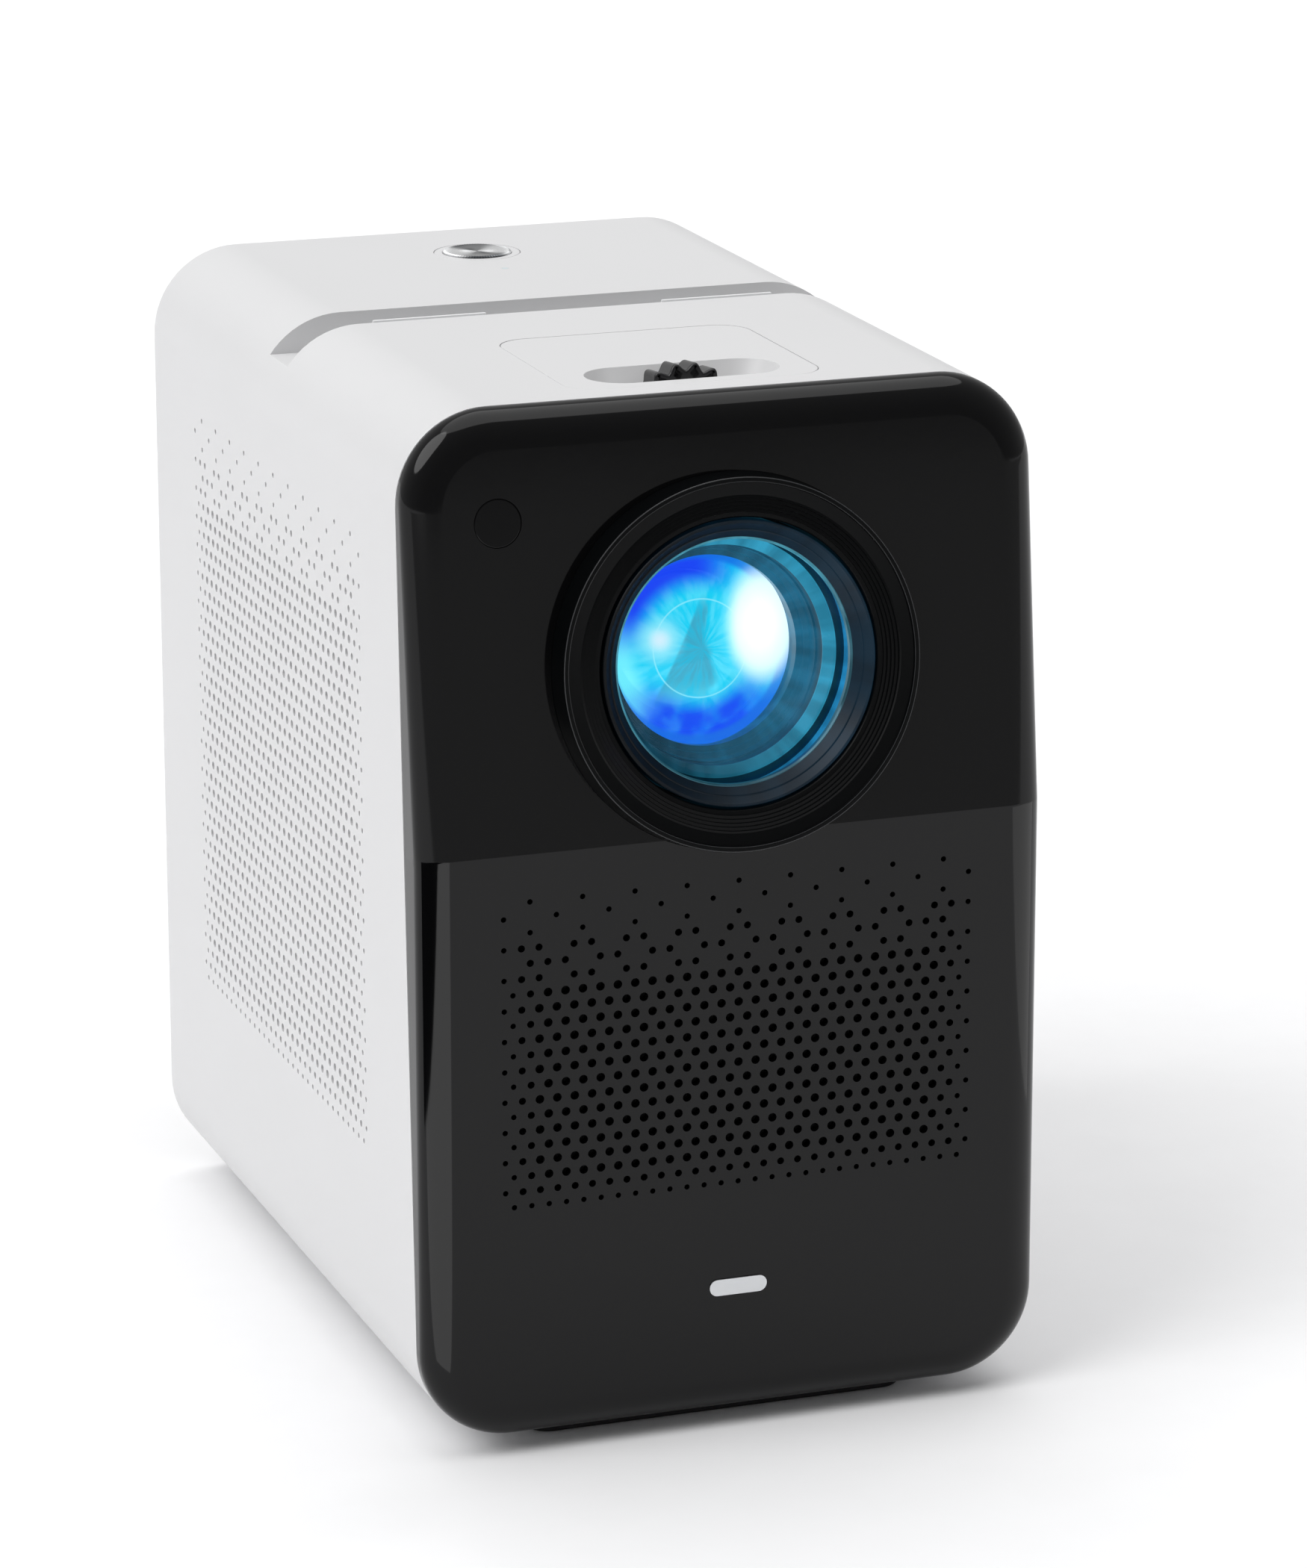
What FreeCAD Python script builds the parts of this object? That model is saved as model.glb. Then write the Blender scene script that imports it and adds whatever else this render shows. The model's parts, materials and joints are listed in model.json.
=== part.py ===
import FreeCAD, Part
import math
import os
import re

import Sketcher
from FreeCAD import Placement, Rotation, Vector

# A home projector: an upright box with a glossy two-plane front, a tilted lens above a speaker
# grille, and a sleeve with a tablet slot, a focus wheel and a power button along its top.
# X is right seen from the front, -Y is the way it projects, Z is up. The origin is the middle of
# the footprint, on the surface the feet stand on. All sizes are in millimetres.

doc = FreeCAD.newDocument("home_projector")
dims = doc.addObject("Spreadsheet::Sheet", "dims")
lay = doc.addObject("Spreadsheet::Sheet", "lay")
owner = {}


def fill(sheet, rows):
    """Write name, content and note rows into a sheet, and give each content cell its alias."""
    for row, (alias, content, note) in enumerate(rows, start=1):
        sheet.set(f"A{row}", alias)
        sheet.set(f"B{row}", link(str(content)))
        sheet.setAlias(f"B{row}", alias)
        sheet.set(f"C{row}", note)
        owner[alias] = sheet.Name
    doc.recompute()


def link(formula):
    """Put the sheet's name in front of every alias in a formula."""
    def full(match):
        word = match.group(0)
        return f"{owner[word]}.{word}" if word in owner else word
    return re.sub(r"[A-Za-z_]\w*", full, formula)


def value(formula):
    """The number that a formula gives now."""
    return float(dims.evalExpression(link(formula)))


fill(dims, [
    ("body_width", 150, "sleeve, side to side"),
    ("body_height", 238, "sleeve, underside to top"),
    ("body_depth", 218, "lower front face to back"),
    ("corner_radius", 21.3, "long edges of the sleeve"),
    ("wall", 2.5, "sleeve wall"),
    ("foot_height", 4, "rubber feet below the sleeve"),
    ("foot_width", 12, "foot, front to back"),
    ("foot_length", 93, "foot, side to side"),
    ("foot_inset", 11.5, "front face to the front foot"),
    ("crease_height", 138.2, "underside to the bend in the front"),
    ("lens_tilt", 6, "lean of the upper front face, degrees"),
    ("rim_bottom", 6.6, "depth of the bezel at the bottom"),
    ("rim_lean", 2.44, "lean of the bezel's back edge, degrees"),
    ("bezel_wall", 2.5, "bezel wall"),
    ("edge_round", 4.2, "rounding of the bezel's front edges"),
    ("seal_thickness", 0.6, "seal between bezel and sleeve"),
    ("seal_inset", 0.5, "seal, below the outer surface"),
    ("lens_rise", 40.3, "bend to lens axis along the upper face"),
    ("lens_proud", 7, "collar in front of the upper face"),
    ("collar_radius", 42.3, "collar at its front lip"),
    ("collar_base", 43, "collar where it meets the face"),
    ("collar_flange", 46.5, "collar flange behind the face"),
    ("collar_bore", 33, "collar round the barrel"),
    ("lip_width", 1.1, "flat lip of the collar"),
    ("funnel_depth", 2.4, "lip to the inner edge of the collar"),
    ("flange_gap", 3.5, "front face to the collar flange"),
    ("flange_thickness", 2, "collar flange"),
    ("barrel_radius", 32.4, "moving lens barrel"),
    ("barrel_recess", 2.2, "barrel behind the collar lip"),
    ("barrel_end", 52, "face to the back of the barrel"),
    ("retainer_bore", 27.7, "clear opening of the front retainer"),
    ("retainer_depth", 5.3, "front retainer"),
    ("front_lens_radius", 28.8, "front lens"),
    ("front_lens_curve", 90, "front surface of the front lens"),
    ("front_lens_back", 7.5, "face to the back of the front lens"),
    ("stop_near", 18, "face to the inner stop"),
    ("stop_far", 20.5, "face to the back of the stop"),
    ("stop_radius", 21.5, "opening of the inner stop"),
    ("inner_lens_radius", 22.9, "inner lens"),
    ("inner_lens_curve", 60, "both surfaces of the inner lens"),
    ("inner_lens_thickness", 12, "inner lens at its middle"),
    ("rear_lens_radius", 25.1, "rear lens"),
    ("rear_lens_curve", 80, "rear surface of the rear lens"),
    ("rear_lens_thickness", 8, "rear lens at its middle"),
    ("lens_gap", 0.1, "glass in its seat"),
    ("slide_gap", 0.06, "barrel in the guide, and ring on the guide"),
    ("guide_near", 8, "face to the front of the guide tube"),
    ("guide_radius", 35, "guide tube"),
    ("guide_flange", 50, "guide tube flange"),
    ("guide_flange_thickness", 4, "guide tube flange"),
    ("focus_travel", 2, "barrel, each way"),
    ("focus_turn", 25, "focus ring, each way, degrees"),
    ("ring_near", 22, "face to the front of the focus ring"),
    ("ring_sleeve", 36.6, "focus ring sleeve"),
    ("pin_radius", 1.5, "drive pins"),
    ("pin_place", 28, "face to the drive pins"),
    ("pin_gap", 0.15, "drive pins in their slots"),
    ("gear_module", 1, "pitch diameter over teeth"),
    ("ring_teeth", 85, "focus ring"),
    ("pinion_teeth", 17, "pinion on the wheel shaft"),
    ("gear_near", 37, "face to the ring teeth"),
    ("gear_width", 5, "ring teeth"),
    ("gear_slack", 0.25, "backlash, and end play of the gears"),
    ("clip_thickness", 1.2, "clip behind the focus ring"),
    ("clip_radius", 39, "clip behind the focus ring"),
    ("wheel_radius", 14, "focus wheel over its lobes"),
    ("wheel_lobes", 18, "lobes round the focus wheel"),
    ("lobe_radius", 1.5, "one lobe"),
    ("lobe_depth", 1.2, "valleys between the lobes"),
    ("wheel_near", 24.5, "face to the focus wheel"),
    ("wheel_width", 8, "focus wheel"),
    ("shaft_radius", 1.5, "focus wheel shaft"),
    ("shaft_gap", 0.05, "shaft in the bracket"),
    ("ear_thickness", 2.8, "bracket ears"),
    ("bracket_low", 44.5, "lens axis to the bracket rails"),
    ("bracket_high", 54.5, "lens axis to the top of the ears"),
    ("rail_height", 4, "bracket rails"),
    ("rail_width", 3, "bracket rails"),
    ("rail_gap", 1.3, "wheel to bracket rail"),
    ("engine_width", 112, "light engine, side to side"),
    ("engine_height", 80, "light engine, top to bottom"),
    ("engine_length", 96, "light engine, front to back"),
    ("engine_wall", 3, "light engine wall"),
    ("leg_radius", 4, "legs of the light engine and of the speaker box"),
    ("engine_leg_side", 22, "middle to the light engine's legs"),
    ("engine_leg_near", 16, "engine front to its front legs"),
    ("engine_leg_far", 50, "engine front to its rear legs"),
    ("field_lens_place", 50, "engine front to the field lens"),
    ("panel_place", 55, "engine front to the image panel"),
    ("condenser_place", 66, "engine front to the condenser"),
    ("holder_place", 80, "engine front to the collimator holder"),
    ("sheet_lens_thickness", 2, "ribbed sheet lenses"),
    ("panel_thickness", 3, "image panel"),
    ("collimator_radius", 24, "collimator lens"),
    ("collimator_curve", 40, "collimator lens, front surface"),
    ("collimator_thickness", 10, "collimator lens"),
    ("holder_thickness", 3, "collimator holder"),
    ("lamp_plate", 40, "lamp's copper plate, square"),
    ("lamp_plate_thickness", 3, "lamp's copper plate"),
    ("emitter_size", 14, "lamp's emitter, square"),
    ("emitter_thickness", 1.4, "lamp's emitter"),
    ("lamp_opening", 20, "hole in the engine's back"),
    ("sink_width", 90, "heat sink"),
    ("sink_base", 5, "heat sink base"),
    ("sink_depth", 22, "heat sink fins"),
    ("fin_count", 15, "heat sink fins"),
    ("fin_thickness", 1.5, "heat sink fins"),
    ("fan_size", 80, "fan frame, square"),
    ("fan_depth", 15, "fan frame"),
    ("fan_back", 13, "fan to the back of the projector"),
    ("fan_height", 160, "underside to the fan's middle"),
    ("fan_bore", 38, "fan frame opening"),
    ("blade_gap", 1.5, "blade tip to the frame"),
    ("hub_radius", 16, "fan hub"),
    ("blade_count", 7, "fan blades"),
    ("blade_thickness", 1.2, "fan blades"),
    ("blade_chord", 13, "fan blades, leading to trailing edge"),
    ("blade_pitch", 35, "fan blades, degrees from the axis"),
    ("strut_width", 3, "fan frame struts"),
    ("strut_depth", 2, "fan frame struts"),
    ("cover_thickness", 3, "rear cover"),
    ("cover_gap", 0.2, "rear cover in the sleeve"),
    ("vent_slots", 7, "slots in the rear cover"),
    ("slot_height", 4, "rear cover slots"),
    ("slot_spacing", 9.5, "rear cover slots"),
    ("boss_radius", 4.5, "screw bosses"),
    ("boss_length", 12, "screw bosses"),
    ("boss_rise", 35, "sleeve edge to the screw bosses"),
    ("screw_radius", 1.3, "screw thread"),
    ("screw_head", 2.7, "screw head"),
    ("screw_head_depth", 1.6, "screw head"),
    ("screw_gap", 0.1, "screw in its hole"),
    ("groove_front", 113, "lower front face to the tablet slot"),
    ("groove_width", 14.6, "tablet slot"),
    ("groove_depth", 9, "tablet slot"),
    ("pad_near", 22, "middle to the slot pads"),
    ("pad_far", 50, "middle to the ends of the slot pads"),
    ("pad_thickness", 0.9, "slot pads"),
    ("pad_depth", 7, "slot pads below the top"),
    ("pad_proud", 0.5, "slot pads above the top"),
    ("panel_front", 25, "lower front face to the focus panel"),
    ("panel_width", 61, "focus panel, side to side"),
    ("panel_length", 58.5, "focus panel, front to back"),
    ("panel_corner", 8, "focus panel"),
    ("panel_gap", 0.15, "focus panel in the sleeve"),
    ("panel_ledge", 3, "focus panel flange under the sleeve"),
    ("ledge_thickness", 1.5, "focus panel flange"),
    ("recess_length", 46, "finger recess, side to side"),
    ("recess_width", 17.4, "finger recess, front to back"),
    ("recess_depth", 5, "finger recess"),
    ("recess_slope", 30, "finger recess walls, degrees"),
    ("recess_place", 38, "lower front face to the finger recess"),
    ("recess_wall", 1.6, "finger recess"),
    ("wheel_slot_length", 28.4, "slot in the recess floor"),
    ("wheel_slot_width", 10.6, "slot in the recess floor"),
    ("button_place", 187.7, "lower front face to the power button"),
    ("button_radius", 8.5, "power button"),
    ("button_gap", 0.1, "power button in its ring"),
    ("button_proud", 0.5, "power button above the top"),
    ("button_travel", 1, "power button"),
    ("ring_outer", 10.7, "trim ring round the button"),
    ("ring_flange", 12.5, "trim ring under the sleeve"),
    ("board_drop", 15, "top to the button board"),
    ("board_thickness", 1.6, "circuit boards"),
    ("button_board_width", 36, "button board"),
    ("post_radius", 2.5, "button board posts"),
    ("light_place", 165.5, "lower front face to the status light"),
    ("light_radius", 0.85, "status light pipe"),
    ("hole_pitch", 4.147, "grille holes"),
    ("hole_radius", 0.95, "grille holes"),
    ("grille_columns", 27, "pitches across the front grille"),
    ("grille_rows", 15, "full rows of the front grille"),
    ("grille_low", 56.4, "underside to the lowest grille row"),
    ("vent_front", 41.9, "lower front face to the side vents"),
    ("vent_length", 141, "side vents, front to back"),
    ("vent_low", 56.5, "underside to the side vents"),
    ("vent_high", 206, "underside to the top of the side vents"),
    ("vent_pitch", 9.4, "side vent holes"),
    ("vent_hole", 3, "side vent holes, radius"),
    ("vent_gap", 0.1, "side vents in the sleeve"),
    ("cloth_thickness", 0.6, "speaker cloth"),
    ("cloth_margin", 4, "speaker cloth round the holes"),
    ("speaker_size", 50, "speaker frame, square"),
    ("speaker_spread", 58, "between the speakers"),
    ("speaker_place", 10, "front face to the speaker frames"),
    ("speaker_height", 83, "underside to the speakers"),
    ("speaker_plate", 3, "speaker frame"),
    ("cone_radius", 21, "speaker cone"),
    ("cone_depth", 11, "speaker cone"),
    ("cone_wall", 0.8, "speaker cone"),
    ("coil_radius", 7, "speaker cone at its back"),
    ("magnet_radius", 16, "speaker magnet"),
    ("magnet_depth", 9, "speaker magnet"),
    ("box_margin", 4, "speaker box round the speakers"),
    ("box_depth", 44, "speaker box"),
    ("box_wall", 2.5, "speaker box"),
    ("box_leg_side", 40, "middle to the speaker box's legs"),
    ("eye_radius", 5.5, "remote control window"),
    ("eye_side", 54, "middle to the remote control window"),
    ("eye_up", 35.4, "lens axis to the window along the face"),
    ("press_gap", 0.05, "pieces pressed into their holes"),
    ("overrun", 1, "cuts past the faces that they go through"),
    ("eye_board", 12, "receiver board, square"),
    ("badge_height", 31, "underside to the front badge"),
    ("badge_length", 14, "front badge"),
    ("badge_width", 4, "front badge"),
    ("badge_thickness", 0.4, "front badge"),
    ("thread_radius", 3.2, "tripod thread, 1/4 inch"),
    ("insert_radius", 5, "tripod insert"),
    ("insert_length", 8, "tripod insert"),
    ("insert_boss", 8, "boss round the tripod insert"),
    ("floor_slots", 6, "air slots in the underside, each side"),
    ("floor_slot_length", 20, "air slots in the underside"),
    ("floor_slot_width", 3, "air slots in the underside"),
    ("floor_slot_pitch", 7, "air slots in the underside"),
    ("floor_slot_place", 30, "middle to the nearest air slot"),
    ("main_board_height", 50, "underside to the main board"),
    ("power_board_height", 23, "underside to the power board"),
    ("board_width", 128, "main and power boards"),
    ("board_length", 96, "main and power boards"),
    ("board_back", 5, "boards to the back of the projector"),
    ("rest_width", 8, "board rests along the sleeve"),
    ("chip_size", 32, "processor cooler and transformer, square"),
    ("chip_height", 8, "processor cooler"),
    ("can_radius", 8, "power board capacitors"),
    ("can_height", 20, "power board capacitors and transformer"),
    ("can_spacing", 20, "between the capacitors"),
    ("port_recess", 0.5, "ports behind the rear face"),
    ("port_wall", 0.6, "port shells"),
    ("port_gap", 0.3, "ports in the rear cover"),
    ("video_width", 15.2, "video ports"),
    ("video_height", 6, "video ports"),
    ("data_width", 14.2, "data port"),
    ("data_height", 6.6, "data port"),
    ("port_depth", 13, "ports"),
    ("video_place", 30, "middle to the first video port"),
    ("video_spacing", 22, "between the video ports"),
    ("data_place", -14, "middle to the data port"),
    ("jack_place", -34, "middle to the sound jack"),
    ("jack_radius", 3, "sound jack collar"),
    ("jack_bore", 1.8, "sound jack"),
    ("jack_size", 7, "sound jack body"),
    ("inlet_place", -46, "middle to the mains inlet"),
    ("inlet_height", 14.5, "underside to the mains inlet"),
    ("inlet_width", 24, "mains inlet"),
    ("inlet_tall", 16, "mains inlet"),
    ("inlet_depth", 18, "mains inlet"),
    ("inlet_lobe", 4.6, "mains inlet socket, end radius"),
    ("inlet_pins", 8.6, "between the mains pins"),
    ("inlet_pin_radius", 1.2, "mains pins"),
    ("inlet_pin_length", 9, "mains pins"),
    ("inlet_socket", 13, "mains inlet socket depth"),
])

fill(lay, [
    ("base_z", "=foot_height", "underside of the sleeve"),
    ("top_z", "=foot_height + body_height", "top of the sleeve"),
    ("lip_forward", "=lens_proud * cos(lens_tilt) + (collar_radius - lens_rise) * sin(lens_tilt)",
     "collar in front of the lower face"),
    ("face_y", "=(lip_forward - body_depth) / 2", "lower front face"),
    ("rear_y", "=(lip_forward + body_depth) / 2", "back of the projector"),
    ("crease_z", "=base_z + crease_height", "bend in the front"),
    ("top_face_y", "=face_y + (body_height - crease_height) * tan(lens_tilt)", "front face at the top"),
    ("rim_low_y", "=face_y + rim_bottom", "bezel's back edge at the bottom"),
    ("rim_top_y", "=rim_low_y + body_height * tan(rim_lean)", "bezel's back edge at the top"),
    ("lens_y", "=face_y + lens_rise * sin(lens_tilt)", "lens axis at the face"),
    ("lens_z", "=crease_z + lens_rise * cos(lens_tilt)", "lens axis at the face"),
    ("lip", "=0 - lens_proud", "collar lip, along the lens axis"),
    ("barrel_front", "=barrel_recess - lens_proud", "barrel front, along the lens axis"),
    ("retainer_back", "=barrel_front + retainer_depth", "back of the front retainer"),
    ("engine_near", "=barrel_end + focus_travel", "engine front, along the lens axis"),
    ("engine_far", "=engine_near + engine_length", "engine back, along the lens axis"),
    ("wheel_up", "=gear_module * (ring_teeth + pinion_teeth) / 2", "lens axis to the wheel shaft"),
    ("fan_z", "=base_z + fan_height", "fan axis"),
    ("fan_far_y", "=rear_y - fan_back", "back of the fan"),
    ("cover_y", "=rear_y - cover_thickness", "inside of the rear cover"),
    ("button_y", "=face_y + button_place", "power button"),
    ("main_board_z", "=base_z + main_board_height", "underside of the main board"),
    ("power_board_z", "=base_z + power_board_height", "underside of the power board"),
    ("port_z", "=main_board_z + board_thickness", "underside of the ports"),
    ("port_y", "=rear_y - port_recess", "outer end of the ports"),
    ("inlet_z", "=base_z + inlet_height", "mains inlet"),
    ("boss_x", "=body_width / 2 - wall - boss_radius + 1", "screw bosses"),
])

subparts = []


def part(node, solid):
    """Name a finished sub-part and list it for export."""
    solid.Label = node
    subparts.append(solid)
    return solid


def block(name, low, high):
    """A box between two corners, each given as three formulas."""
    solid = doc.addObject("Part::Box", name)
    for side, near, far in zip(("Length", "Width", "Height"), low, high):
        solid.setExpression(side, link(f"({far}) - ({near})"))
    for axis, near in zip("xyz", low):
        solid.setExpression(f"Placement.Base.{axis}", link(near))
    return solid


def rod(name, radius, start, length, along="z"):
    """A cylinder from a start point along +X, +Y or +Z."""
    solid = doc.addObject("Part::Cylinder", name)
    solid.setExpression("Radius", link(radius))
    solid.setExpression("Height", link(length))
    turns = {"x": Rotation(Vector(0, 1, 0), 90), "y": Rotation(Vector(1, 0, 0), -90), "z": Rotation()}
    solid.Placement = Placement(Vector(), turns[along])
    for axis, near in zip("xyz", start):
        solid.setExpression(f"Placement.Base.{axis}", link(near))
    return solid


def joined(name, *pieces):
    """One solid, or one group, made of several."""
    if len(pieces) == 1:
        return pieces[0]
    solid = doc.addObject("Part::MultiFuse", name)
    solid.Shapes = list(pieces)
    return solid


def cut(name, base, *tools):
    """The base without the tools."""
    solid = doc.addObject("Part::Cut", name)
    solid.Base = base
    solid.Tool = joined(name + "_tools", *tools)
    return solid


def common(name, *pieces):
    """What the pieces share."""
    solid = doc.addObject("Part::MultiCommon", name)
    solid.Shapes = list(pieces)
    return solid


def sketched(body, plane, outline):
    """A closed outline of straight lines on an origin plane, every corner bound to the sheets."""
    sketch = body.newObject("Sketcher::SketchObject", body.Name + "_outline")
    support = [item for item in body.Origin.OriginFeatures if item.Role == plane][0]
    sketch.AttachmentSupport = [(support, "")]
    sketch.MapMode = "FlatFace"
    corners = [Vector(value(across), value(up), 0) for across, up in outline]
    count = len(corners)
    for index, corner in enumerate(corners):
        sketch.addGeometry(Part.LineSegment(corner, corners[(index + 1) % count]), False)
    for index in range(count):
        follower = (index + 1) % count
        sketch.addConstraint(Sketcher.Constraint("Coincident", index, 2, follower, 1))
    for index, pair in enumerate(outline):
        for kind, formula in zip(("DistanceX", "DistanceY"), pair):
            place = Sketcher.Constraint(kind, -1, 1, index, 1, value(formula))
            number = sketch.addConstraint(place)
            sketch.setExpression(f"Constraints[{number}]", link(formula))
    return sketch


def turned(name, outline):
    """A turned piece about its own Z axis; the outline gives radius and height."""
    body = doc.addObject("PartDesign::Body", name)
    sketch = sketched(body, "XZ_Plane", outline)
    turn = body.newObject("PartDesign::Revolution", name + "_turn")
    turn.Profile = sketch
    turn.ReferenceAxis = (sketch, ["V_Axis"])
    turn.Angle = 360
    return body


def padded(name, plane, outline, length):
    """A straight pad, half to each side of its plane."""
    body = doc.addObject("PartDesign::Body", name)
    pad = body.newObject("PartDesign::Pad", name + "_pad")
    pad.Profile = sketched(body, plane, outline)
    pad.SideType = "Symmetric"
    pad.setExpression("Length", link(length))
    body.Tip = pad
    return body


def rounded(body, name, radius, chosen):
    """Round the chosen edges of a body's last feature."""
    doc.recompute()
    base = body.Tip
    names = [f"Edge{number}" for number, edge in enumerate(base.Shape.Edges, 1) if chosen(edge)]
    fillet = body.newObject("PartDesign::Fillet", name)
    fillet.Base = (base, names)
    fillet.setExpression("Radius", link(radius))
    return body


def runs_along(axis):
    """A test for straight edges that run along one axis."""
    def test(edge):
        ends = [vertex.Point for vertex in edge.Vertexes]
        return len(ends) == 2 and (ends[1] - ends[0]).cross(axis).Length < 1e-6
    return test


def sleeve_bar(name, outline, width, radius):
    """A bar across the body with the side view given, rounded along its long edges."""
    body = padded(name, "YZ_Plane", outline, width)
    doc.recompute()
    half = value(width) / 2

    def end_edge(edge):
        ends = [vertex.Point for vertex in edge.Vertexes]
        level = abs(ends[0].z - ends[1].z) < 1e-6
        return level and abs(abs(ends[0].x + ends[1].x) - 2 * half) < 1e-6

    return rounded(body, name + "_round", radius, end_edge)


def rectangle(low_across, low_up, high_across, high_up):
    """The corners of a rectangle, as formulas."""
    return [(low_across, low_up), (high_across, low_up), (high_across, high_up), (low_across, high_up)]


def on_lens_axis(solid, side="0", up="0", inward="0"):
    """Place a piece made along +Z so that it runs into the body along the lens axis."""
    solid.Placement = Placement(Vector(), Rotation(Vector(1, 0, 0), -90 - value("lens_tilt")))
    solid.setExpression("Placement.Rotation.Angle", link("-90 - lens_tilt"))
    slope = {
        "x": side,
        "y": f"lens_y + ({up}) * sin(lens_tilt) + ({inward}) * cos(lens_tilt)",
        "z": f"lens_z + ({up}) * cos(lens_tilt) - ({inward}) * sin(lens_tilt)",
    }
    for axis, formula in slope.items():
        solid.setExpression(f"Placement.Base.{axis}", link(formula))
    return solid


def lens_rod(name, radius, near, far, side="0", up="0"):
    """A cylinder along the lens axis, from near to far behind the upper face."""
    solid = doc.addObject("Part::Cylinder", name)
    solid.setExpression("Radius", link(radius))
    solid.setExpression("Height", link(f"({far}) - ({near})"))
    return on_lens_axis(solid, side, up, near)


def lens_block(name, width, height, near, far, side="0", up="0"):
    """A box centred on a line beside the lens axis, from near to far behind the upper face."""
    solid = doc.addObject("Part::Box", name)
    solid.setExpression("Length", link(width))
    solid.setExpression("Width", link(height))
    solid.setExpression("Height", link(f"({far}) - ({near})"))
    return on_lens_axis(solid, f"({side}) - ({width}) / 2", f"({up}) + ({height}) / 2", near)


def lens_turned(name, outline):
    """A turned piece on the lens axis."""
    return on_lens_axis(turned(name, outline))


def glass(name, radius, near, far, front_curve=None, back_curve=None):
    """A lens between two points on the axis, each surface bulging with its own radius or flat."""
    pieces = [lens_rod(name + "_edge", radius, near, far)]
    for side, curve, middle in (
        ("front", front_curve, f"({near}) + ({front_curve})"),
        ("back", back_curve, f"({far}) - ({back_curve})"),
    ):
        if curve is not None:
            ball = doc.addObject("Part::Sphere", f"{name}_{side}")
            ball.setExpression("Radius", link(curve))
            pieces.append(on_lens_axis(ball, inward=middle))
    return common(name, *pieces)


# Front bezel: one moulded cap. Its lower face is upright and its upper face leans back from a bend,
# and the holes for the lens and the window follow the upper face.
bezel_outer = sleeve_bar("bezel_outer", [
    ("rim_low_y", "base_z"), ("face_y", "base_z"), ("face_y", "crease_z"),
    ("top_face_y", "top_z"), ("rim_top_y", "top_z"),
], "body_width", "corner_radius")


def is_front_edge(edge):
    """True for edges round the front of the bezel, but not for its bend."""
    middle = edge.CenterOfMass
    lean = math.tan(math.radians(value("lens_tilt")))
    face = value("face_y") + max(0, middle.z - value("crease_z")) * lean
    inside = abs(middle.x) < value("body_width") / 2 - value("corner_radius")
    is_bend = inside and abs(middle.z - value("crease_z")) < 1e-6
    return abs(middle.y - face) < 0.5 and not is_bend


rounded(bezel_outer, "bezel_edges", "edge_round", is_front_edge)
bezel_inner = sleeve_bar("bezel_inner", [
    ("rim_low_y + wall", "base_z + bezel_wall"), ("face_y + bezel_wall", "base_z + bezel_wall"),
    ("face_y + bezel_wall", "crease_z"),
    ("top_face_y + bezel_wall", "top_z - bezel_wall"),
    ("rim_top_y + wall", "top_z - bezel_wall"),
], "body_width - 2 * bezel_wall", "corner_radius - bezel_wall")
lens_hole = lens_rod("lens_hole", "collar_base + press_gap", "-3 * lens_proud", "3 * lens_proud")
eye_hole = lens_rod("eye_hole", "eye_radius + press_gap", "-lens_proud", "lens_proud", "-eye_side", "eye_up")
thinning = [(2, 4), (1, 5), (2, 4), (3,), (0,), (3,)]


def grille_places(columns, rows):
    """Holes in half pitches across and rows up: full rows first, then rows that thin out."""
    for row in range(rows + len(thinning)):
        for column in range(row % 2 == 0, 2 * columns + 1, 2):
            if row < rows or column % 6 in thinning[row - rows]:
                yield column, row


grille_holes = doc.addObject("Part::Feature", "grille_holes")
grille_holes.Shape = Part.makeCompound([
    Part.makeCylinder(
        value("hole_radius"), 3 * value("bezel_wall"),
        Vector((column - value("grille_columns")) * value("hole_pitch") / 2,
               value("face_y - bezel_wall"),
               value("base_z + grille_low") + row * value("hole_pitch") * math.sqrt(3) / 2),
        Vector(0, 1, 0))
    for column, row in grille_places(int(value("grille_columns")), int(value("grille_rows")))
])
bezel_cap = cut("bezel_cap", bezel_outer, bezel_inner, lens_hole, eye_hole)
part("front_bezel", cut("bezel", bezel_cap, grille_holes))

# Bezel seal: a thin grey strip that fills the joint between the bezel and the sleeve.
seal_slice = padded("seal_slice", "YZ_Plane", [
    ("rim_low_y", "base_z"), ("rim_top_y", "top_z"),
    ("rim_top_y + seal_thickness", "top_z"), ("rim_low_y + seal_thickness", "base_z"),
], "body_width")
seal_bar = sleeve_bar("seal_bar", rectangle(
    "face_y", "base_z + seal_inset", "rim_top_y + wall", "top_z - seal_inset"),
    "body_width - 2 * seal_inset", "corner_radius - seal_inset")
inner_bar = sleeve_bar("inner_bar", rectangle(
    "face_y - wall", "base_z + wall", "rear_y + wall", "top_z - wall"),
    "body_width - 2 * wall", "corner_radius - wall")
part("bezel_seal", cut("seal", common("seal_outer", seal_slice, seal_bar), inner_bar))

# Remote control window, a dark disc flush with the upper face, and the receiver behind it.
part("receiver_window", lens_rod("window", "eye_radius", "0", "bezel_wall", "-eye_side", "eye_up"))
part("receiver_board", joined(
    "receiver",
    lens_block("receiver_plate", "eye_board", "eye_board", "2 * bezel_wall",
               "2 * bezel_wall + board_thickness", "-eye_side", "eye_up"),
    lens_rod("receiver_eye", "eye_radius / 2", "bezel_wall", "2 * bezel_wall", "-eye_side", "eye_up"),
))

# Front badge: a plain metal bar with round ends, stuck on the lower face.
badge_half = "(badge_length - badge_width) / 2"
badge_z = "base_z + badge_height"
badge_y = "face_y - badge_thickness"
part("front_badge", joined(
    "badge",
    block("badge_bar", (f"-{badge_half}", badge_y, f"{badge_z} - badge_width / 2"),
          (badge_half, "face_y", f"{badge_z} + badge_width / 2")),
    *[rod(f"badge_end_{index}", "badge_width / 2", (f"{side}{badge_half}", badge_y, badge_z),
          "badge_thickness", "y") for index, side in enumerate(("-", ""), 1)],
))

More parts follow.
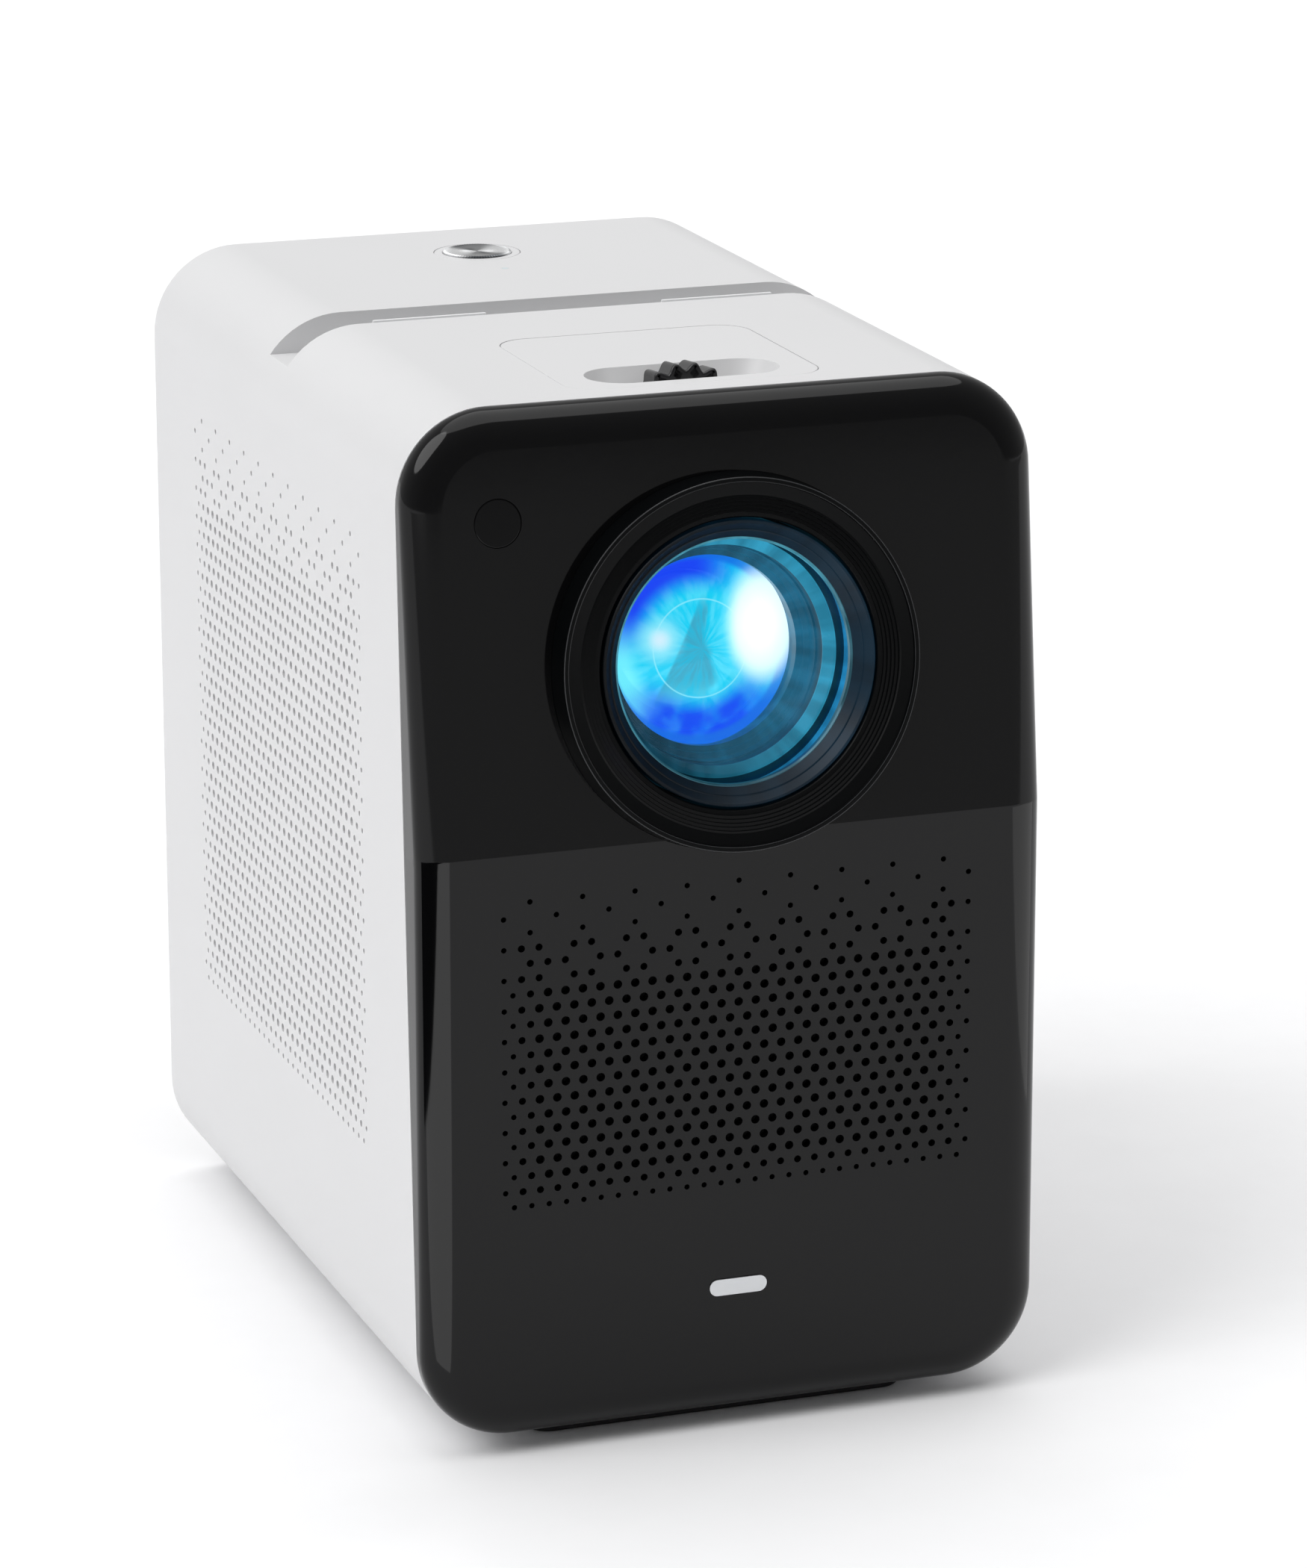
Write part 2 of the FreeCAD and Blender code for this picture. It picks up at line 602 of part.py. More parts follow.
# Speaker cloth behind the grille holes.
cloth_half = "grille_columns * hole_pitch / 2 + cloth_margin"
grille_height = f"(grille_rows + {len(thinning) - 1}) * hole_pitch * sin(60)"
part("speaker_cloth", block(
    "cloth", (f"-({cloth_half})", "face_y + bezel_wall", "base_z + grille_low - cloth_margin"),
    (cloth_half, "face_y + bezel_wall + cloth_thickness",
     f"base_z + grille_low + {grille_height} + cloth_margin / 2")))

# Sleeve: the white casing, open at both ends, with the tablet slot's trough across its top.
sleeve_outer = sleeve_bar("sleeve_outer", [
    ("rim_low_y + seal_thickness", "base_z"), ("rim_top_y + seal_thickness", "top_z"),
    ("rear_y", "top_z"), ("rear_y", "base_z"),
], "body_width", "corner_radius")
groove_y = "face_y + groove_front"
trough = block(
    "trough", ("-body_width / 2", f"{groove_y} - wall", "top_z - groove_depth - wall"),
    ("body_width / 2", f"{groove_y} + groove_width + wall", "top_z"))
cavity = cut("cavity", inner_bar, trough)
groove = block("groove", ("-body_width", groove_y, "top_z - groove_depth"),
               ("body_width", f"{groove_y} + groove_width", "top_z + wall"))


def panel_plug(name, low, high, margin):
    """The focus panel's rounded outline between two heights, larger all round by the margin."""
    outline = rectangle(
        f"-panel_width / 2 - ({margin})", f"face_y + panel_front - ({margin})",
        f"panel_width / 2 + ({margin})", f"face_y + panel_front + panel_length + ({margin})")
    body = padded(name, "XY_Plane", outline, f"({high}) - ({low})")
    rounded(body, name + "_corners", f"panel_corner + ({margin})", runs_along(Vector(0, 0, 1)))
    body.setExpression("Placement.Base.z", link(f"(({low}) + ({high})) / 2"))
    return body


panel_opening = panel_plug("panel_opening", "top_z - 2 * wall", "top_z + wall", "panel_gap")
button_hole = rod("button_hole", "ring_outer + panel_gap", ("0", "button_y", "top_z - 2 * wall"), "3 * wall")
light_hole = rod("light_hole", "light_radius + press_gap",
                 ("0", "face_y + light_place", "top_z - 2 * wall"), "3 * wall")
windows = [
    block("vent_window_left", ("-body_width", "face_y + vent_front", "base_z + vent_low"),
          ("wall - body_width / 2", "face_y + vent_front + vent_length", "base_z + vent_high")),
    block("vent_window_right", ("body_width / 2 - wall", "face_y + vent_front", "base_z + vent_low"),
          ("body_width", "face_y + vent_front + vent_length", "base_z + vent_high")),
]
floor_slots = []
for index in range(int(value("floor_slots"))):
    slot_y = f"({index} - floor_slots / 2) * floor_slot_pitch"
    far_x = "(floor_slot_place + floor_slot_length)"
    for side, low_x, high_x in (("left", f"-{far_x}", "-floor_slot_place"),
                                ("right", "floor_slot_place", far_x)):
        floor_slots.append(block(f"air_slot_{side}_{index}", (low_x, slot_y, "0"),
                                 (high_x, f"{slot_y} + floor_slot_width", "base_z + 2 * wall")))
insert_boss = rod("insert_boss", "insert_boss", ("0", "0", "base_z + wall"), "insert_length")
insert_seat = rod("insert_seat", "insert_radius", ("0", "0", "0"), "base_z + insert_length")
screw_places = [(f"{side}boss_x", height) for side in ("-", "")
                for height in ("base_z + boss_rise", "top_z - boss_rise")]
bosses = [rod(f"boss_{index}", "boss_radius", (across, "cover_y - boss_length", height),
              "boss_length", "y") for index, (across, height) in enumerate(screw_places, 1)]
pilots = [rod(f"pilot_{index}", "screw_radius + press_gap",
              (across, "cover_y - boss_length - overrun", height), "boss_length + 2 * overrun", "y")
          for index, (across, height) in enumerate(screw_places, 1)]
posts = [rod(f"post_{index}", "post_radius",
             (f"{side}(button_board_width / 2 - post_radius)", "button_y + post_radius",
              "top_z - board_drop"), "board_drop - wall / 2")
         for index, side in enumerate(("-", ""), 1)]
rests = [block(f"board_rest_{level}_{side}",
               (low_x, "cover_y - board_length", f"{level} - wall"), (high_x, "cover_y - board_back", level))
         for level in ("main_board_z", "power_board_z")
         for side, low_x, high_x in (
             ("left", "wall / 2 - body_width / 2", "wall + rest_width - body_width / 2"),
             ("right", "body_width / 2 - wall - rest_width", "body_width / 2 - wall / 2"))]
sleeve = cut("sleeve", sleeve_outer, cavity, groove, panel_opening, button_hole, light_hole,
             *windows, *floor_slots)
part("main_shell", cut("sleeve_finished", joined("sleeve_with_posts", sleeve, insert_boss, *bosses,
                                                 *posts, *rests), insert_seat, *pilots))

# Side vents: perforated panels that fill the windows in the sleeve's sides.
vent_rows = int(value("(vent_high - vent_low) / vent_pitch"))
vent_columns = int(value("vent_length / vent_pitch - 0.5"))
vent_middle_y = value("face_y + vent_front + vent_length / 2")
vent_middle_z = value("base_z + (vent_low + vent_high) / 2")
for side, inner, outer in (("left", "-body_width / 2", "wall - body_width / 2"),
                           ("right", "body_width / 2 - wall", "body_width / 2")):
    plate = block(f"vent_plate_{side}",
                  (inner, "face_y + vent_front + vent_gap", "base_z + vent_low + vent_gap"),
                  (outer, "face_y + vent_front + vent_length - vent_gap",
                   "base_z + vent_high - vent_gap"))
    holes = doc.addObject("Part::Feature", f"vent_holes_{side}")
    holes.Shape = Part.makeCompound([
        Part.makeCylinder(
            value("vent_hole"), 3 * value("wall"),
            Vector(value(f"{inner} - wall"),
                   vent_middle_y + (column - (vent_columns - 0.5 - row % 2) / 2) * value("vent_pitch"),
                   vent_middle_z + (row - (vent_rows - 1) / 2) * value("vent_pitch")),
            Vector(1, 0, 0))
        for row in range(vent_rows) for column in range(vent_columns)
    ])
    part(f"side_vent_{side}", cut(f"vent_{side}", plate, holes))

# Tripod insert: a brass bush in the underside, for a 1/4 inch camera screw.
part("tripod_insert", cut(
    "bush", rod("bush_outer", "insert_radius", ("0", "0", "base_z"), "insert_length"),
    rod("bush_thread", "thread_radius", ("0", "0", "0"), "base_z + 2 * insert_length")))

# Feet: two rubber strips across the underside, near the front and near the back.
for name, near in (("foot_front", "face_y + foot_inset"),
                   ("foot_rear", "rear_y - foot_inset - foot_width")):
    ends = [rod(f"{name}_end_{index}", "foot_width / 2",
                (f"{side}(foot_length - foot_width) / 2", f"{near} + foot_width / 2", "0"), "foot_height")
            for index, side in enumerate(("-", ""), 1)]
    part(name, joined(name + "_strip", *ends, block(
        name + "_middle", ("-(foot_length - foot_width) / 2", near, "0"),
        ("(foot_length - foot_width) / 2", f"{near} + foot_width", "foot_height"))))

# Slot pads: two soft strips on the front edge of the tablet slot.
part("slot_pads", joined("pads", *[
    block(f"pad_{index}", (low_x, groove_y, "top_z - pad_depth"),
          (high_x, f"{groove_y} + pad_thickness", "top_z + pad_proud"))
    for index, (low_x, high_x) in enumerate((("-pad_far", "-pad_near"), ("pad_near", "pad_far")), 1)
]))

# Focus panel: a flush panel with a sloping finger recess and a slot for the focus wheel.
recess_y = "face_y + recess_place"


def recess_form(name, margin):
    """The finger recess as a solid with round ends, narrowing downwards; the margin makes its outside."""
    deep = f"(recess_depth + {margin})"
    half = f"(recess_width / 2 + {margin})"
    low_half = f"({half} - {deep} * tan(recess_slope))"
    middle = padded(name + "_middle", "YZ_Plane", [
        (f"-{low_half}", f"-{deep}"), (low_half, f"-{deep}"), (half, "0"), (f"-{half}", "0"),
    ], "recess_length - recess_width")
    middle.setExpression("Placement.Base.y", link(recess_y))
    middle.setExpression("Placement.Base.z", link("top_z"))
    pieces = [middle]
    for index, side in enumerate(("-", ""), 1):
        end = doc.addObject("Part::Cone", f"{name}_end_{index}")
        end.setExpression("Radius1", link(low_half))
        end.setExpression("Radius2", link(half))
        end.setExpression("Height", link(deep))
        end.setExpression("Placement.Base.x", link(f"{side}(recess_length - recess_width) / 2"))
        end.setExpression("Placement.Base.y", link(recess_y))
        end.setExpression("Placement.Base.z", link(f"top_z - {deep}"))
        pieces.append(end)
    return joined(name, *pieces)


ledge = panel_plug("panel_flange", "top_z - wall - ledge_thickness", "top_z - wall", "panel_ledge")
plug = panel_plug("panel_plug", "top_z - wall - ledge_thickness / 2", "top_z", "0")
wheel_slot = block("wheel_slot", ("-wheel_slot_length / 2", f"{recess_y} - wheel_slot_width / 2",
                                  "top_z - 4 * recess_depth"),
                   ("wheel_slot_length / 2", f"{recess_y} + wheel_slot_width / 2", "top_z"))
pinion_room = lens_rod("pinion_room", "gear_module * (pinion_teeth / 2 + 1) + 2 * gear_slack",
                       "gear_near - 2 * gear_slack", "gear_near + gear_width + 2 * gear_slack",
                       up="wheel_up")
panel_solid = joined("panel_solid", plug, ledge, recess_form("recess_outer", "recess_wall"))
part("focus_panel", cut("panel", panel_solid, recess_form("recess_inner", "0"), wheel_slot,
                        pinion_room))

# Power button: a turned metal cap that slides in a trim ring and presses a switch on a small board.
def at_button(solid):
    """Place a turned piece on the button's axis, with its own zero at the top of the sleeve."""
    solid.setExpression("Placement.Base.y", link("button_y"))
    solid.setExpression("Placement.Base.z", link("top_z"))
    return solid


part("button_ring", at_button(turned("trim", [
    ("button_radius + button_gap", "0"), ("ring_outer", "0"), ("ring_outer", "-wall"),
    ("ring_flange", "-wall"), ("ring_flange", "-wall - ledge_thickness"),
    ("button_radius + button_gap", "-wall - ledge_thickness"),
])))
part("power_button", at_button(turned("cap", [
    ("0", "button_proud"), ("button_radius", "button_proud"),
    ("button_radius", "-wall - ledge_thickness - button_gap"),
    ("ring_outer", "-wall - ledge_thickness - button_gap"),
    ("ring_outer", "-wall - 2 * ledge_thickness"), ("post_radius", "-wall - 2 * ledge_thickness"),
    ("post_radius", "-board_drop / 2"), ("0", "-board_drop / 2"),
])))
board_top = "top_z - board_drop"
part("button_board", block(
    "button_plate", ("-button_board_width / 2", "face_y + light_place - post_radius",
                     f"{board_top} - board_thickness"),
    ("button_board_width / 2", "button_y + 3 * post_radius", board_top)))
part("button_switch", joined(
    "switch",
    block("switch_body", ("-post_radius", "button_y - post_radius", board_top),
          ("post_radius", "button_y + post_radius", f"{board_top} + board_drop / 4")),
    rod("switch_plunger", "post_radius / 2", ("0", "button_y", f"{board_top} + board_drop / 4"),
        "board_drop / 4 - button_travel - button_gap"),
))
part("light_pipe", rod("pipe", "light_radius", ("0", "face_y + light_place", board_top), "board_drop"))

# Lens collar: the black ring that stands in front of the upper face, flanged behind it.
part("lens_collar", lens_turned("collar", [
    ("collar_bore", "lip + funnel_depth"), ("collar_radius - lip_width", "lip"), ("collar_radius", "lip"),
    ("collar_base", "0"), ("collar_base", "flange_gap"), ("collar_flange", "flange_gap"),
    ("collar_flange", "flange_gap + flange_thickness"), ("collar_bore", "flange_gap + flange_thickness"),
]))

# Lens barrel: slides in the guide tube and carries the three lenses, the retainer and the pins.
barrel = lens_turned("barrel", [
    ("front_lens_radius + lens_gap", "retainer_back"), ("barrel_radius", "retainer_back"),
    ("barrel_radius", "barrel_end"), ("rear_lens_radius + lens_gap", "barrel_end"),
    ("rear_lens_radius + lens_gap", "barrel_end - rear_lens_thickness - lens_gap"),
    ("inner_lens_radius + lens_gap", "barrel_end - rear_lens_thickness - lens_gap"),
    ("inner_lens_radius + lens_gap", "stop_far"), ("stop_radius", "stop_far"),
    ("stop_radius", "stop_near"), ("retainer_bore", "stop_near"),
    ("retainer_bore", "front_lens_back + lens_gap"),
    ("front_lens_radius + lens_gap", "front_lens_back + lens_gap"),
])
part("lens_barrel", barrel)
part("lens_retainer", lens_turned("retainer", [
    ("retainer_bore", "retainer_back"), ("retainer_bore", "retainer_back - cone_wall"),
    ("barrel_radius", "barrel_front"), ("barrel_radius", "retainer_back"),
]))
part("front_lens", glass("front_glass", "front_lens_radius", "barrel_front + barrel_recess",
                         "front_lens_back", front_curve="front_lens_curve"))
part("inner_lens", glass("inner_glass", "inner_lens_radius", "stop_far + lens_gap",
                         "stop_far + lens_gap + inner_lens_thickness",
                         "inner_lens_curve", "inner_lens_curve"))
part("rear_lens", glass("rear_glass", "rear_lens_radius", "barrel_end - rear_lens_thickness",
                        "barrel_end", back_curve="rear_lens_curve"))

# Guide tube: holds the barrel, and the focus ring turns on it between a shoulder and a clip.
clip_near = "gear_near + gear_width + gear_slack"
guide = lens_turned("guide", [
    ("barrel_radius + slide_gap", "guide_near"), ("guide_radius", "guide_near"),
    ("guide_radius", "ring_near - gear_slack - 2 * flange_thickness"),
    ("ring_sleeve", "ring_near - gear_slack - 2 * flange_thickness"),
    ("ring_sleeve", "ring_near - gear_slack"), ("guide_radius", "ring_near - gear_slack"),
    ("guide_radius", "engine_near - guide_flange_thickness"),
    ("guide_flange", "engine_near - guide_flange_thickness"),
    ("guide_flange", "engine_near"), ("barrel_radius + slide_gap", "engine_near"),
])
pin_angles = [0, 120, 240]


def spoke(name, radius, turn, inward, near, far):
    """A cylinder that points away from the lens axis at an angle, between two radii."""
    solid = doc.addObject("Part::Feature", name)
    outward = Vector(math.sin(math.radians(turn)), -math.cos(math.radians(turn)), 0)
    solid.Shape = Part.makeCylinder(radius, far - near, outward * near + Vector(0, 0, inward), outward)
    return on_lens_axis(solid)


slot_radius = value("pin_radius + pin_gap")
slot_steps = 12
slot_stages = [step / slot_steps for step in range(-slot_steps, slot_steps + 1)]
guide_slots = [
    spoke(f"guide_slot_{turn}_{index}", slot_radius, turn,
          value("pin_place") + stage * value("focus_travel"),
          value("barrel_radius - wall"), value("guide_radius + wall"))
    for turn in pin_angles for index, stage in enumerate(slot_stages)
]
part("guide_tube", cut("guide_slotted", guide, *guide_slots))
part("drive_pins", joined("pins", *[
    spoke(f"pin_{turn}", value("pin_radius"), turn, value("pin_place"),
          value("barrel_radius"), value("ring_sleeve - slide_gap"))
    for turn in pin_angles
]))

# Focus ring: toothed all round, with three helical slots that push the drive pins along.


def gear_solid(teeth, width, bore, phase):
    """An involute spur gear about +Z from height zero, with one tooth centred on the phase."""
    module = value("gear_module")
    pressure = math.radians(20)
    pitch_radius = module * teeth / 2
    base_radius = pitch_radius * math.cos(pressure)
    tip_radius = pitch_radius + module
    root_radius = pitch_radius - 1.25 * module
    slack = value("gear_slack") / 2
    half_tooth = (math.pi * module / 2 - slack) / 2 / pitch_radius
    half_at_base = half_tooth + math.tan(pressure) - pressure
    steps = 5
    start = max(base_radius, root_radius)
    flank = []
    for step in range(steps + 1):
        radius = start + (tip_radius - start) * step / steps
        roll = math.acos(min(1, base_radius / radius))
        flank.append((radius, half_at_base - (math.tan(roll) - roll)))
    if root_radius < base_radius:
        flank.insert(0, (root_radius, half_at_base))
    corners = []
    for tooth in range(teeth):
        middle = phase + 2 * math.pi * tooth / teeth
        side = [(radius, middle - half) for radius, half in flank]
        side += [(radius, middle + half) for radius, half in reversed(flank)]
        corners += [Vector(radius * math.cos(angle), radius * math.sin(angle), 0) for radius, angle in side]
    outline = Part.makePolygon(corners + corners[:1])
    blank = Part.Face(outline).extrude(Vector(0, 0, width))
    return blank.cut(Part.makeCylinder(bore, width))


towards_wheel = -math.pi / 2
ring_gear = doc.addObject("Part::Feature", "ring_gear")
ring_gear.Shape = gear_solid(int(value("ring_teeth")), value("gear_width"),
                             value("guide_radius + slide_gap"), towards_wheel)
on_lens_axis(ring_gear, inward="gear_near")
ring_sleeve = lens_turned("ring_sleeve_turned", rectangle(
    "guide_radius + slide_gap", "ring_near", "ring_sleeve", "gear_near"))
helical_slots = [
    spoke(f"ring_slot_{turn}_{index}", slot_radius, turn + stage * value("focus_turn"),
          value("pin_place") + stage * value("focus_travel"),
          value("guide_radius - wall"), value("ring_sleeve + wall"))
    for turn in pin_angles for index, stage in enumerate(slot_stages)
]
part("focus_ring", cut("ring", joined("ring_solid", ring_gear, ring_sleeve), *helical_slots))
part("ring_clip", lens_turned("clip", rectangle(
    "guide_radius", clip_near, "clip_radius", f"{clip_near} + clip_thickness")))

# Focus wheel: a lobed thumb wheel and a pinion on one steel shaft, in a two-eared bracket.
wheel_far = "wheel_near + wheel_width"
lobes = []
for index in range(int(value("wheel_lobes"))):
    turn = f"360 * {index} / wheel_lobes"
    lobes.append(lens_rod(f"lobe_{index}", "lobe_radius", "wheel_near", wheel_far,
                          f"(wheel_radius - lobe_radius) * sin({turn})",
                          f"wheel_up + (wheel_radius - lobe_radius) * cos({turn})"))
wheel_disc = lens_rod("wheel_disc", "wheel_radius - lobe_depth", "wheel_near", wheel_far,
                      up="wheel_up")
wheel_bore = lens_rod("wheel_bore", "shaft_radius", "ring_near", "barrel_end", up="wheel_up")
part("focus_wheel", cut("wheel", joined("wheel_solid", wheel_disc, *lobes), wheel_bore))
pinion_gear = doc.addObject("Part::Feature", "pinion_gear")
half_pinion_pitch = math.pi / value("pinion_teeth")
pinion_gear.Shape = gear_solid(int(value("pinion_teeth")), value("gear_width"), value("shaft_radius"),
                               -towards_wheel + half_pinion_pitch)
on_lens_axis(pinion_gear, up="wheel_up", inward="gear_near")
pinion_hub = cut("hub", lens_rod("hub_outer", "2 * shaft_radius", wheel_far, "gear_near", up="wheel_up"),
                 lens_rod("hub_bore", "shaft_radius", "ring_near", "barrel_end", up="wheel_up"))
part("focus_pinion", joined("pinion", pinion_gear, pinion_hub))
front_ear = "wheel_near - gear_slack - ear_thickness"
rear_ear = "gear_near + gear_width + gear_slack"
part("wheel_shaft", lens_rod("shaft", "shaft_radius", front_ear, f"{rear_ear} + ear_thickness",
                             up="wheel_up"))
bracket_width = "2 * (wheel_radius + rail_gap + rail_width)"
ear_up = "(bracket_low + bracket_high) / 2"
ears = [lens_block(f"ear_{index}", bracket_width, "bracket_high - bracket_low", near,
                   f"{near} + ear_thickness", up=ear_up)
        for index, near in enumerate((front_ear, rear_ear), 1)]
rails = [lens_block(f"rail_{index}", "rail_width", "rail_height", front_ear,
                    "engine_near - guide_flange_thickness",
                    f"{side}(wheel_radius + rail_gap + rail_width / 2)", "bracket_low + rail_height / 2")
         for index, side in enumerate(("-", ""), 1)]
part("wheel_bracket", cut("bracket", joined("bracket_solid", *ears, *rails), lens_rod(
    "bracket_bore", "shaft_radius + shaft_gap", "0", "engine_near", up="wheel_up")))

# Light engine: a closed box that holds the sheet lenses and the image panel in line with the lens.
engine_outer = lens_block("engine_outer", "engine_width", "engine_height", "engine_near", "engine_far")
inner_width = "engine_width - 2 * engine_wall"
inner_height = "engine_height - 2 * engine_wall"
engine_inner = lens_block("engine_inner", inner_width, inner_height, "engine_near + engine_wall",
                          "engine_far - engine_wall")
light_way = lens_rod("light_way", "rear_lens_radius", "barrel_end", "engine_near + 2 * engine_wall")
lamp_way = lens_rod("lamp_way", "lamp_opening", "engine_far - 2 * engine_wall", "engine_far + engine_wall")
engine_legs = [
    rod(f"engine_leg_{row}_{side_name}", "leg_radius",
        (f"{side}engine_leg_side", f"lens_y - engine_height / 2 * sin(lens_tilt) + {inward} * cos(lens_tilt)",
         "base_z + wall"),
        f"lens_z - engine_height / 2 * cos(lens_tilt) - {inward} * sin(lens_tilt) + engine_wall / 2"
        " - base_z - wall")
    for row, inward in (("near", "(engine_near + engine_leg_near)"),
                        ("far", "(engine_near + engine_leg_far)"))
    for side_name, side in (("left", "-"), ("right", ""))
]
part("engine_housing", joined("engine_on_legs", cut(
    "engine", engine_outer, engine_inner, light_way, lamp_way), *engine_legs))
for node, place, thickness in (
    ("field_lens", "field_lens_place", "sheet_lens_thickness"),
    ("image_panel", "panel_place", "panel_thickness"),
    ("condenser_lens", "condenser_place", "sheet_lens_thickness"),
):
    part(node, lens_block(node + "_sheet", inner_width, inner_height, f"engine_near + {place}",
                          f"engine_near + {place} + {thickness}"))
holder_near = "engine_near + holder_place"
part("collimator_holder", cut(
    "holder", lens_block("holder_plate", inner_width, inner_height, holder_near,
                         f"{holder_near} + holder_thickness"),
    lens_rod("holder_bore", "collimator_radius + lens_gap", "0", "engine_far")))
part("collimator_lens", glass("collimator", "collimator_radius", f"{holder_near} - holder_thickness",
                              f"{holder_near} - holder_thickness + collimator_thickness",
                              front_curve="collimator_curve"))
part("lamp_board", joined(
    "lamp", lens_block("lamp_copper", "lamp_plate", "lamp_plate", "engine_far",
                       "engine_far + lamp_plate_thickness"),
    lens_block("lamp_emitter", "emitter_size", "emitter_size", "engine_far - emitter_thickness",
               "engine_far")))
sink_near = "engine_far + lamp_plate_thickness"
fin_pitch = "(sink_width - fin_thickness) / (fin_count - 1)"
fins = [lens_block(f"fin_{index}", "fin_thickness", "engine_height", f"{sink_near} + sink_base",
                   f"{sink_near} + sink_base + sink_depth",
                   f"({index} - (fin_count - 1) / 2) * {fin_pitch}")
        for index in range(int(value("fin_count")))]
part("heat_sink", joined("sink", lens_block("sink_plate", "sink_width", "engine_height", sink_near,
                                            f"{sink_near} + sink_base"), *fins))

# Fan: a square frame with four struts to its hub, and a bladed rotor on a pin.
fan_half = "fan_size / 2"
fan_near_y = "fan_far_y - fan_depth"
fan_frame = block("fan_square", (f"-{fan_half}", fan_near_y, f"fan_z - {fan_half}"),
                  (fan_half, "fan_far_y", f"fan_z + {fan_half}"))
fan_opening = rod("fan_opening", "fan_bore", ("0", f"{fan_near_y} - overrun", "fan_z"),
                  "fan_depth + 2 * overrun", "y")
strut_y = "fan_far_y - strut_depth"
struts = [
    block("strut_level", (f"-{fan_half} + strut_width", strut_y, "fan_z - strut_width / 2"),
          (f"{fan_half} - strut_width", "fan_far_y", "fan_z + strut_width / 2")),
    block("strut_upright", ("-strut_width / 2", strut_y, f"fan_z - {fan_half} + strut_width"),
          ("strut_width / 2", "fan_far_y", f"fan_z + {fan_half} - strut_width")),
    rod("fan_plate", "hub_radius", ("0", strut_y, "fan_z"), "strut_depth", "y"),
]
fan_pin_hole = rod("fan_pin_hole", "shaft_radius + shaft_gap", ("0", fan_near_y, "fan_z"),
                   "2 * fan_depth", "y")
part("fan_frame", cut("fan_body", joined("fan_solid", cut("fan_open", fan_frame, fan_opening), *struts),
                      fan_pin_hole))
rotor_depth = value("fan_depth - strut_depth - 2 * gear_slack")
hub_radius = value("hub_radius")
blade_reach = value("fan_bore - blade_gap")
blade_root = hub_radius - value("strut_width")
blade_chord = value("blade_chord")
rotor = Part.makeCylinder(hub_radius, rotor_depth)
for index in range(int(value("blade_count"))):
    blade = Part.makeBox(blade_reach - blade_root, value("blade_thickness"), blade_chord)
    blade.translate(Vector(blade_root, -value("blade_thickness") / 2, -blade_chord / 2))
    blade.rotate(Vector(), Vector(1, 0, 0), value("blade_pitch"))
    blade.translate(Vector(0, 0, rotor_depth / 2))
    blade.rotate(Vector(), Vector(0, 0, 1), 360 * index / value("blade_count"))
    rotor = rotor.fuse(blade)
rotor = rotor.common(Part.makeCylinder(blade_reach, rotor_depth))
pin = Part.makeCylinder(value("shaft_radius"), rotor_depth + value("gear_slack + strut_depth"))
rotor_solid = doc.addObject("Part::Feature", "rotor_solid")
rotor_solid.Shape = rotor.fuse(pin)
rotor_solid.Placement = Placement(Vector(), Rotation(Vector(1, 0, 0), -90))
rotor_solid.setExpression("Placement.Base.y", link(f"{fan_near_y} + gear_slack"))
rotor_solid.setExpression("Placement.Base.z", link("fan_z"))
part("fan_rotor", rotor_solid)

# Rear cover: closes the back, with slots for the fan's air and openings for the ports.
cover_inset = "wall + cover_gap"
cover_outer = sleeve_bar("cover_outer", rectangle(
    "cover_y", f"base_z + {cover_inset}", "rear_y", f"top_z - ({cover_inset})"),
    f"body_width - 2 * ({cover_inset})", f"corner_radius - ({cover_inset})")
vent_cuts = [
    block(f"cover_slot_{index}",
          ("-fan_bore", "cover_y - overrun", f"fan_z + ({index} - (vent_slots - 1) / 2) * slot_spacing"
           " - slot_height / 2"),
          ("fan_bore", "rear_y + overrun", f"fan_z + ({index} - (vent_slots - 1) / 2) * slot_spacing"
           " + slot_height / 2"))
    for index in range(int(value("vent_slots")))
]
ports = {
    "video_1": ("video_place", "video_width", "video_height"),
    "video_2": ("video_place - video_spacing", "video_width", "video_height"),
    "data": ("data_place", "data_width", "data_height"),
}


def port_box(name, key, margin, near, far):
    """A port's outline, larger all round by the margin, between two places along Y."""
    middle, width, tall = ports[key]
    return block(name, (f"{middle} - {width} / 2 - ({margin})", near, f"port_z - ({margin})"),
                 (f"{middle} + {width} / 2 + ({margin})", far, f"port_z + {tall} + ({margin})"))


port_cuts = [port_box(f"port_cut_{key}", key, "port_gap", "cover_y - overrun", "rear_y + overrun")
             for key in ports]
jack_z = "port_z + jack_size / 2"
jack_cut = rod("jack_cut", "jack_radius + port_gap", ("jack_place", "cover_y - overrun", jack_z),
               "2 * cover_thickness", "y")
inlet_low = ("inlet_place - inlet_width / 2", "rear_y - inlet_depth", "inlet_z - inlet_tall / 2")
inlet_high = ("inlet_place + inlet_width / 2", "rear_y", "inlet_z + inlet_tall / 2")
inlet_cut = block("inlet_cut",
                  (f"{inlet_low[0]} - cover_gap", "cover_y - overrun", f"{inlet_low[2]} - cover_gap"),
                  (f"{inlet_high[0]} + cover_gap", "rear_y + overrun", f"{inlet_high[2]} + cover_gap"))
cover_holes = [
    rod(f"cover_{kind}_{index}", radius, (across, near, height), "2 * cover_thickness", "y")
    for index, (across, height) in enumerate(screw_places, 1)
    for kind, radius, near in (("hole", "screw_radius + screw_gap", "cover_y - overrun"),
                               ("sink", "screw_head + screw_gap", "rear_y - screw_head_depth"))
]
